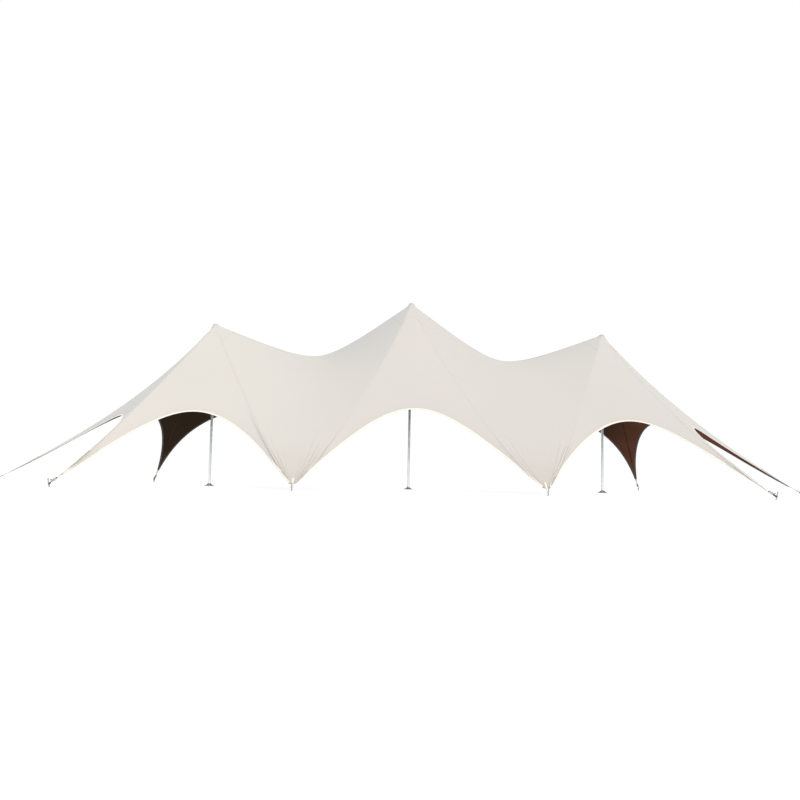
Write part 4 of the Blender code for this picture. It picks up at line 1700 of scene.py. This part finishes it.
def tape_mesh(name, width, lift):
    """The middle surface of the tapes, folded over the seams as the cloth is."""
    cloth = canopy()
    points, faces, along, across = [], [], [], []
    for nodes in seam_lines():
        left, right, left_up, right_up = cloth.slopes(nodes)
        middle_up = left_up + right_up
        middle_up /= np.linalg.norm(middle_up, axis=1, keepdims=True)
        spots = cloth.points[nodes]
        columns = (
            spots + left * width / 2.0 + left_up * lift,
            spots + left * width / 4.0 + left_up * lift,
            spots + middle_up * lift,
            spots + right * width / 4.0 + right_up * lift,
            spots + right * width / 2.0 + right_up * lift,
        )
        run = np.concatenate([[0.0], np.cumsum(np.linalg.norm(np.diff(spots, axis=0), axis=1))])
        first, rows = len(points), len(nodes)
        for column, points_there in enumerate(columns):
            points.extend(points_there.tolist())
            along.extend(run)
            across.extend([(2 - column) * width / 4.0] * rows)
        for column in range(4):
            low = first + column * rows
            for row in range(rows - 1):
                one, two = low + row, low + rows + row
                faces.append((one, two, two + 1, one + 1))
    mesh = bpy.data.meshes.new(name)
    mesh.from_pydata(points, [], faces)
    store(mesh, "along", along)
    store(mesh, "across", across)
    return mesh


def seam_rows(side, lift):
    """Paths beside the seams, one on each side, for stitches."""
    cloth = canopy()
    paths = []
    for nodes in seam_lines():
        left, right, left_up, right_up = cloth.slopes(nodes)
        spots = cloth.points[nodes]
        paths.append((spots + left * side + left_up * lift, left_up, False))
        paths.append((spots + right * side + right_up * lift, right_up, False))
    return paths


class TENT_OT_hem(bpy.types.Operator):
    """Make the binding along the free edges"""

    bl_idname = "tent.hem"
    bl_label = "Hem binding"

    def execute(self, context):
        sizes, sewing = context.scene.tent_cloth, context.scene.tent_sewing
        values = {
            "Width": sewing.hem_width,
            "Thickness": sizes.thickness + 2.0 * sewing.hem_proud,
            "Shift": sewing.hem_width / 2.0 - sewing.hem_proud,
            "Material": binding_webbing(),
        }
        lay("hem_binding", hem_paths(), band_tree(), values, "webbing")
        return {"FINISHED"}


class TENT_OT_seams(bpy.types.Operator):
    """Make the tapes over the seams, outside and inside"""

    bl_idname = "tent.seams"
    bl_label = "Seam tapes"

    def execute(self, context):
        sizes, sewing = context.scene.tent_cloth, context.scene.tent_sewing
        lift = (sizes.thickness + sewing.seam_proud) / 2.0
        sides = (
            ("outer_seam_tapes", lift, cream_tape()),
            ("inner_seam_tapes", -lift, lining_tape()),
        )
        for name, height, finish in sides:
            values = {"Thickness": sewing.seam_proud}
            values.update({"Outer": finish, "Lining": finish, "Edge": finish})
            mesh = tape_mesh(name, sewing.seam_width, height)
            settle(grow(name, mesh, shell_tree(), values), "canopy_cloth", sharp=60.0)
        return {"FINISHED"}


def sew(name, paths, rows):
    """Rows of stitches along paths, each at a shift and a lift."""
    sewing = bpy.context.scene.tent_sewing
    for row, (shift, lift) in enumerate(rows):
        values = {
            "Pitch": sewing.stitch_pitch,
            "Length": sewing.stitch_length,
            "Thread": sewing.thread,
            "Lift": lift,
            "Shift": shift,
            "Material": sewing_thread(),
        }
        lay(f"{name}_{row + 1}", paths, stitch_tree(), values, "webbing")


class TENT_OT_stitches(bpy.types.Operator):
    """Sew the hems, seams and patches"""

    bl_idname = "tent.stitches"
    bl_label = "Stitches"

    def execute(self, context):
        sizes, sewing = context.scene.tent_cloth, context.scene.tent_sewing
        cloth = canopy()
        edge = sewing.stitch_edge
        hem_lift = sizes.thickness / 2.0 + sewing.hem_proud
        inner_row = sewing.hem_width - sewing.hem_proud - edge
        rows = [(edge, hem_lift), (inner_row, hem_lift), (inner_row, -hem_lift)]
        sew("hem_stitches", hem_paths(), rows)
        seam_lift = sizes.thickness / 2.0 + sewing.seam_proud
        side = sewing.seam_width / 2.0 - edge * 0.6
        sew("seam_stitches", seam_rows(side, seam_lift), [(0.0, 0.0)])
        patch_lift = sizes.thickness / 2.0 + sizes.patch_proud
        clear = sewing.hem_width
        borders = [cloth.row_path(name, cloth.patch_row(name), clear) for name in PEAKS + TIES]
        rows = [(edge, patch_lift), (3.0 * edge, patch_lift), (edge, -patch_lift)]
        sew("patch_stitches", borders, rows)
        return {"FINISHED"}


class TENT_OT_caps(bpy.types.Operator):
    """Make the moulded caps on the peaks"""

    bl_idname = "tent.caps"
    bl_label = "Peak caps"

    def execute(self, context):
        sizes = context.scene.tent_cloth
        for name in PEAKS:
            x, y, top = canopy().spot(name)
            top += sizes.thickness + sizes.patch_proud
            profile = [(radius, top + height) for radius, height in CAP_PROFILE]
            points, faces = turned(profile, (x, y), 48)
            cap = solid(name + "_cap", points, faces, cap_plastic())
            settle(cap, "rubber_head", sharp=35.0)
        return {"FINISHED"}


class TENT_OT_corners(bpy.types.Operator):
    """Make the webbing sewn to the corners and the rings that it holds"""

    bl_idname = "tent.corners"
    bl_label = "Corner webbing and rings"

    def execute(self, context):
        sizes, sewing = context.scene.tent_cloth, context.scene.tent_sewing
        cloth = canopy()
        proud = sizes.thickness / 2.0 + sewing.hem_proud + sewing.webbing_thickness / 2.0
        bands, rings, seams = [], [], []
        for name in TIES:
            place, length = tie_line(name)
            inner = name in INNER_TIES
            bar = length - RING_BAR * (INNER_BAR_SHARE if inner else 1.0)
            start = cloth.first_row(name)
            rows = range(start, start + 4 if inner else cloth.patch_row(name) + 2)
            middle = [cloth.across_middle(name, row) for row in rows]
            points = np.array([spot for spot, _ in middle])
            facing = np.array([way for _, way in middle])
            upper = points + facing * proud
            lower = (points - facing * proud)[:3]
            turn = arc(0.5 * math.pi, 1.5 * math.pi, 13)
            reach = RING_ROD + sewing.webbing_thickness / 2.0 + RING_PLAY
            around = place.at(turn * reach + [bar, 0.0, 0.0])
            line = np.concatenate([upper[::-1], around, lower])
            ways = np.concatenate([facing[::-1], place.way(turn), -facing[:3]])
            bands.append((line, ways, False))
            seams.append((upper, facing, False))
            depth = RING_DEPTH
            if inner:
                depth = bar - place.along(stake_centre(name)) + RING_PAST_STAKE
            rings.append(self.ring(place, bar, depth))
        values = {
            "Width": sewing.webbing_width,
            "Thickness": sewing.webbing_thickness,
            "Material": binding_webbing(),
        }
        replaced = ("tie_strap_" + name for name in INNER_TIES)
        lay("corner_webbing", bands, band_tree(), values, "webbing", *replaced)
        side = sewing.webbing_width / 2.0 - CORNER_STITCH_EDGE
        sew("corner_stitches", seams, [(way, CORNER_STITCH_LIFT) for way in (-side, side)])
        values = {"Radius": RING_ROD, "Sides": 12, "Material": bright_zinc()}
        lay("corner_rings", rings, rod_tree(), values, "galvanised_steel")
        return {"FINISHED"}

    def ring(self, place, bar, depth):
        """A D ring: a straight bar in the webbing, and a bow towards the stake or round it."""
        angle = np.linspace(0.0, math.pi, 17)
        bow_x = bar - depth * np.sin(angle) ** 0.8
        bow_y = RING_WIDTH / 2.0 * np.cos(angle)
        local = np.column_stack([bow_x, bow_y, np.zeros(17)])
        level = np.linspace(-RING_BAR_HALF, RING_BAR_HALF, 5)
        back = np.column_stack([np.full(5, bar), level, np.zeros(5)])
        points = np.concatenate([local, back])
        return place.at(points), place.way([UP] * len(points)), True


def stake_centre(name):
    """A stake's centre at the height of its tie-down."""
    cloth = canopy()
    coarse = cloth.coarse
    nodes, _, rows = coarse.fan(name)
    ring = np.unique(nodes[rows == 1])
    outward = coarse.points[coarse.centre(name)] - coarse.points[ring].mean(axis=0)
    outward[2] = 0.0
    outward = unit(outward)
    forward = outward * math.cos(STAKE_LEAN) - np.array([0.0, 0.0, math.sin(STAKE_LEAN)])
    return cloth.spot(name) + forward * STAKE_RADIUS


class TENT_OT_straps(bpy.types.Operator):
    """Make the straps that loop round the stakes"""

    bl_idname = "tent.straps"
    bl_label = "Straps"

    def execute(self, context):
        sewing = context.scene.tent_sewing
        for name in LEGS:
            place, length = tie_line(name)
            paths = self.paths(place.along(stake_centre(name)), length - RING_BAR - RING_DEPTH)
            lines = [(place.at(line), place.way(ways), closed) for line, ways, closed in paths]
            values = {
                "Width": sewing.strap_width,
                "Thickness": sewing.strap_thickness,
                "Material": strap_webbing(),
            }
            lay("strap_" + name, lines, band_tree(), values, "webbing", "tie_strap_" + name)
        return {"FINISHED"}

    def paths(self, stake, bow):
        """The strap's local path, the tail between the ratchet and the ring, and the roll."""
        spindle = bow - RATCHET_LENGTH
        return [self.loop(stake, spindle), self.tail(bow - TAIL_LENGTH, bow), self.roll(spindle)]

    def loop(self, stake, spindle):
        """A flat loop that turns a quarter between the spindle and the stake."""
        first, last = stake + LOOP_FROM_STAKE, spindle - LOOP_FROM_SPINDLE
        shares = np.linspace(0.0, 1.0, 15)
        run = first + (last - first) * shares
        turn = 0.5 * math.pi * (1.0 - (3.0 * shares**2 - 2.0 * shares**3))
        ways = np.column_stack([np.zeros(15), np.sin(turn), np.cos(turn)])
        middle = np.column_stack([run, np.zeros(15), np.zeros(15)])
        bend = np.linspace(0.6 * math.pi, -0.6 * math.pi, 19)
        at_stake = np.column_stack([-np.cos(bend), -np.sin(bend), np.zeros(19)])
        at_spindle = arc(0.6 * math.pi, -0.6 * math.pi, 15)
        line = [
            middle + ways * LOOP_HALF_GAP,
            at_spindle * LOOP_AT_SPINDLE + [spindle, 0.0, 0.0],
            (middle - ways * LOOP_HALF_GAP)[::-1],
            at_stake * LOOP_AT_STAKE + [stake, 0.0, 0.0],
        ]
        facing = [ways, at_spindle, -ways[::-1], at_stake]
        return np.concatenate(line), np.concatenate(facing), True

    def tail(self, near, far):
        """A short flat loop between the ratchet's bolt and the ring."""
        ways = arc(0.5 * math.pi, -0.5 * math.pi, 9)
        at_far = ways * TAIL_ROUND_RING + [far, 0.0, 0.0]
        at_near = [near, 0.0, 0.0] - ways * TAIL_ROUND_RING
        return np.concatenate([at_far, at_near]), np.concatenate([ways, -ways]), True

    def roll(self, spindle):
        """Turns of strap wound on the ratchet's spindle."""
        ways = arc(0.0, 2.0 * math.pi * ROLL_TURNS, 85)
        radius = ROLL_START + ROLL_GROWTH * np.linspace(0.0, ROLL_TURNS, 85)
        return ways * radius[:, None] + [spindle, 0.0, 0.0], ways, False


class TENT_OT_ratchets(bpy.types.Operator):
    """Make the ratchets that tighten the long legs"""

    bl_idname = "tent.ratchets"
    bl_label = "Ratchets"

    def execute(self, context):
        for name in LEGS:
            place, length = tie_line(name)
            spindle = length - RING_BAR - RING_DEPTH - RATCHET_LENGTH
            mould = Mould(place)
            self.frame_plates(mould, spindle)
            self.handle(mould, spindle)
            mould.piece("ratchet_" + name, bright_zinc(), "galvanised_steel")
            grips = Mould(place)
            grips.pin((spindle - 0.052, 0.043), 0.008, -0.036, 0.036)
            grips.piece("ratchet_grip_" + name, moulded_rubber(), "rubber_head", 40.0)
        return {"FINISHED"}

    def frame_plates(self, mould, spindle):
        """Side plates, the spindle, the rear bolt, the cross bar and the latch."""
        for low in FRAME_SIDES:
            mould.plate(slid(FRAME_OUTLINE, spindle), low, low + SHEET_STEEL)
        bolt = (spindle + BOLT_PLACE, 0.0)
        mould.pin((spindle, 0.0), 0.0085, -0.041, 0.041)
        mould.pin(bolt, 0.0050, -0.034, 0.034, 14)
        mould.pin(bolt, 0.0085, -0.0375, -0.033, 6)
        mould.pin(bolt, 0.0085, 0.033, 0.0375, 6)
        mould.pin((spindle + 0.048, -0.012), 0.0035, -0.030, 0.030, 12)
        mould.plate(slid(LATCH_OUTLINE, spindle), -0.028, 0.028)

    def handle(self, mould, spindle):
        """Toothed wheels and the lever, folded down over the frame."""
        for low in WHEEL_SIDES:
            mould.plate(toothed((spindle, 0.0), 13, 0.0175, 0.0225), low, low + WHEEL_STEEL)
        for low in LEVER_SIDES:
            mould.plate(slid(LEVER_OUTLINE, spindle), low, low + SHEET_STEEL)
        mould.plate(slid(LEVER_WEB_OUTLINE, spindle), -0.038, 0.038)


class TENT_OT_stakes(bpy.types.Operator):
    """Finish the ground stakes"""

    bl_idname = "tent.stakes"
    bl_label = "Stakes"

    def execute(self, context):
        for name in TIES:
            dress("stake_" + name, dull_zinc())
        return {"FINISHED"}


def dress(node, material):
    """Give a node of the frame a better finish."""
    materials = frame["nodes"][node].data.materials
    materials.clear()
    materials.append(material)


class TENT_OT_poles(bpy.types.Operator):
    """Finish the poles and add their fittings"""

    bl_idname = "tent.poles"
    bl_label = "Poles"

    def execute(self, context):
        for name in PEAKS:
            pole = name.replace("peak", "pole")
            dress(pole + "_base_plate", dull_zinc())
            dress(pole + "_lower_tube", drawn_alloy())
            dress(pole + "_upper_tube", drawn_alloy())
            dress(pole + "_head", moulded_rubber())
            self.base(pole)
            self.joint(pole)
            self.neck(pole)
        return {"FINISHED"}

    def axis(self, node):
        """X and Y of a node's middle, and its lowest and highest Z."""
        low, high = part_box(node)
        middle = (np.array(low) + np.array(high)) / 2.0
        return middle[0], middle[1], low[2], high[2]

    def base(self, pole):
        """Ribs, weld and bolts on the base plate."""
        x, y, _, _ = self.axis(pole + "_base_plate")
        ribs = Mould()
        for side in range(4):
            along = (*on_circle((0.0, 0.0), 1.0, (side + 0.5) / 4), 0.0)
            ribs.place = Place((x, y, 0.0), along, UP)
            ribs.plate(RIB_OUTLINE, -0.003, 0.003)
        ribs.piece(pole + "_ribs", dull_zinc(), "galvanised_steel", 40.0)
        radius, height = SOCKET_RADIUS + 0.001, PLATE_TOP + 0.001
        circle = [(*on_circle((x, y), radius, side / 32), height) for side in range(32)]
        values = {"Radius": 0.004, "Sides": 8, "Material": dull_zinc()}
        paths = [(circle, [UP] * 32, True)]
        lay(pole + "_weld", paths, rod_tree(), values, "galvanised_steel")
        height = PLATE_TOP + 0.005
        spots = [(*on_circle((x, y), BOLT_CIRCLE, side / 4), height) for side in range(4)]
        sizes = {"Sides": 6, "Radius": 0.014, "Height": 0.012, "Material": bright_zinc()}
        self.heads(pole + "_anchor_bolts", spots, [UP] * 4, sizes, "galvanised_steel")

    def heads(self, name, points, ways, values, slot):
        """A head on each point."""
        mesh = bpy.data.meshes.new(name)
        mesh.from_pydata(points, [], [])
        store(mesh, "facing", ways, "FLOAT_VECTOR")
        settle(grow(name, mesh, head_tree(), values), slot, sharp=30.0)

    def joint(self, pole):
        """A clamp where the tubes meet, a locking pin, and the row of pin holes above it."""
        x, y, _, top = self.axis(pole + "_lower_tube")
        clamp = Mould()
        clamp.sleeve((x, y), CLAMP_PROFILE, top)
        clamp.place = Place((x, y, top - 0.032), (0.0, 1.0, 0.0), UP)
        for side in (-0.009, 0.004):
            clamp.plate(CLAMP_EAR, side, side + 0.005)
        clamp.pin((-0.068, 0.0), 0.005, -0.026, 0.030, 12)
        clamp.pin((-0.068, 0.0), 0.010, -0.018, -0.010, 6)
        clamp.piece(pole + "_clamp", bright_zinc(), "galvanised_steel")
        heights = np.arange(PIN_HOLES) * PIN_HOLE_PITCH + top + FIRST_PIN_HOLE
        holes = [(side, height) for height in heights for side in (-1.0, 1.0)]
        spots = [(x, y + side * UPPER_TUBE_RADIUS, height) for side, height in holes]
        ways = [(0.0, side, 0.0) for side, _ in holes]
        sizes = {"Sides": 16, "Radius": 0.0062, "Height": 0.0012, "Material": moulded_rubber()}
        self.heads(pole + "_pin_holes", spots, ways, sizes, "rubber_head")

    def neck(self, pole):
        """A steel band at the foot of the rubber head."""
        x, y, foot, _ = self.axis(pole + "_head")
        band = Mould()
        band.sleeve((x, y), NECK_PROFILE, foot)
        band.piece(pole + "_neck_band", bright_zinc(), "galvanised_steel")


class TENT_OT_stage(bpy.types.Operator):
    """Set up the floor, the light and the camera"""

    bl_idname = "tent.stage"
    bl_label = "Floor, light and camera"

    def execute(self, context):
        stage = context.scene.tent_stage
        self.floor(stage)
        self.lights(context.scene, stage)
        self.camera(context.scene, stage)
        context.scene.view_settings.view_transform = "Standard"
        return {"FINISHED"}

    def floor(self, stage):
        half = stage.floor_size / 2.0
        corners = [(-half, -half, 0.0), (half, -half, 0.0), (half, half, 0.0), (-half, half, 0.0)]
        mesh = bpy.data.meshes.new("floor")
        mesh.from_pydata(corners, [], [(0, 1, 2, 3)])
        grey = stage.floor_grey
        paint = Paint("pale_floor", base_color=(grey, grey, grey), roughness=0.9)
        paint.set("Emission Color", (1.0, 1.0, 1.0))
        paint.set("Emission Strength", stage.floor_glow)
        mesh.materials.append(paint.material)
        stand("floor", mesh)

    def lights(self, scene, stage):
        world = bpy.data.worlds.new("white_surroundings")
        world.use_nodes = True
        shade = world.node_tree.nodes["Background"]
        shade.inputs["Color"].default_value = (*stage.world_tint, 1.0)
        shade.inputs["Strength"].default_value = stage.world_light
        scene.world = world
        sun = bpy.data.lights.new("key", "SUN")
        sun.energy = stage.key_light
        sun.angle = stage.key_spread
        sun.color = stage.key_tint
        stand("key", sun).rotation_euler = stage.key_turn

    def camera(self, scene, stage):
        data = bpy.data.cameras.new("camera")
        data.lens = stage.focal_length
        data.sensor_width = 36.0
        data.clip_end = 1000.0
        camera = stand("camera", data)
        yaw = Matrix.Rotation(stage.camera_yaw, 4, "Z")
        pitch = Matrix.Rotation(math.pi / 2.0 + stage.camera_pitch, 4, "X")
        roll = Matrix.Rotation(stage.camera_roll, 4, "Z")
        camera.matrix_world = Matrix.Translation(Vector(stage.camera_place)) @ yaw @ pitch @ roll
        scene.camera = camera


OPERATORS = (
    TENT_OT_canopy,
    TENT_OT_doublings,
    TENT_OT_hem,
    TENT_OT_seams,
    TENT_OT_stitches,
    TENT_OT_caps,
    TENT_OT_corners,
    TENT_OT_straps,
    TENT_OT_ratchets,
    TENT_OT_stakes,
    TENT_OT_poles,
    TENT_OT_stage,
)
SETTINGS = {
    "tent_plan": TentPlan,
    "tent_arches": TentArches,
    "tent_cloth": TentCloth,
    "tent_sewing": TentSewing,
    "tent_colours": TentColours,
    "tent_stage": TentStage,
}


class TENT_PT_panel(bpy.types.Panel):
    """Lists the tent's sizes, colours and pieces"""

    bl_idname = "TENT_PT_panel"
    bl_label = "Stretch Tent"
    bl_space_type = "VIEW_3D"
    bl_region_type = "UI"
    bl_category = "Tent"

    def draw(self, context):
        for operator in OPERATORS:
            self.layout.operator(operator.bl_idname)
        for name, group in SETTINGS.items():
            box = self.layout.box()
            for label in group.__annotations__:
                box.prop(getattr(context.scene, name), label)


def register():
    for group in SETTINGS.values():
        bpy.utils.register_class(group)
    for name, group in SETTINGS.items():
        setattr(bpy.types.Scene, name, PointerProperty(type=group))
    for operator in OPERATORS:
        bpy.utils.register_class(operator)
    bpy.utils.register_class(TENT_PT_panel)


def unregister():
    bpy.utils.unregister_class(TENT_PT_panel)
    for operator in reversed(OPERATORS):
        bpy.utils.unregister_class(operator)
    for name, group in SETTINGS.items():
        delattr(bpy.types.Scene, name)
        bpy.utils.unregister_class(group)


def declare_cloth():
    """Gather the sewn pieces and work out the area that the canopy was cut to before it was hung;
    neither is kept.
    """
    sewn = [
        piece
        for piece in bpy.data.objects
        if piece.name.endswith("_doubling") or "stitches" in piece.name or "tapes" in piece.name
    ]
    sewn.append(bpy.data.objects["hem_binding"])
    round(canopy().hung_area * CUT_SHARE, 1)


def main():
    register()
    for operator in OPERATORS:
        family, action = operator.bl_idname.split(".")
        getattr(getattr(bpy.ops, family), action)()
    declare_cloth()


if __name__ == "__main__":
    main()
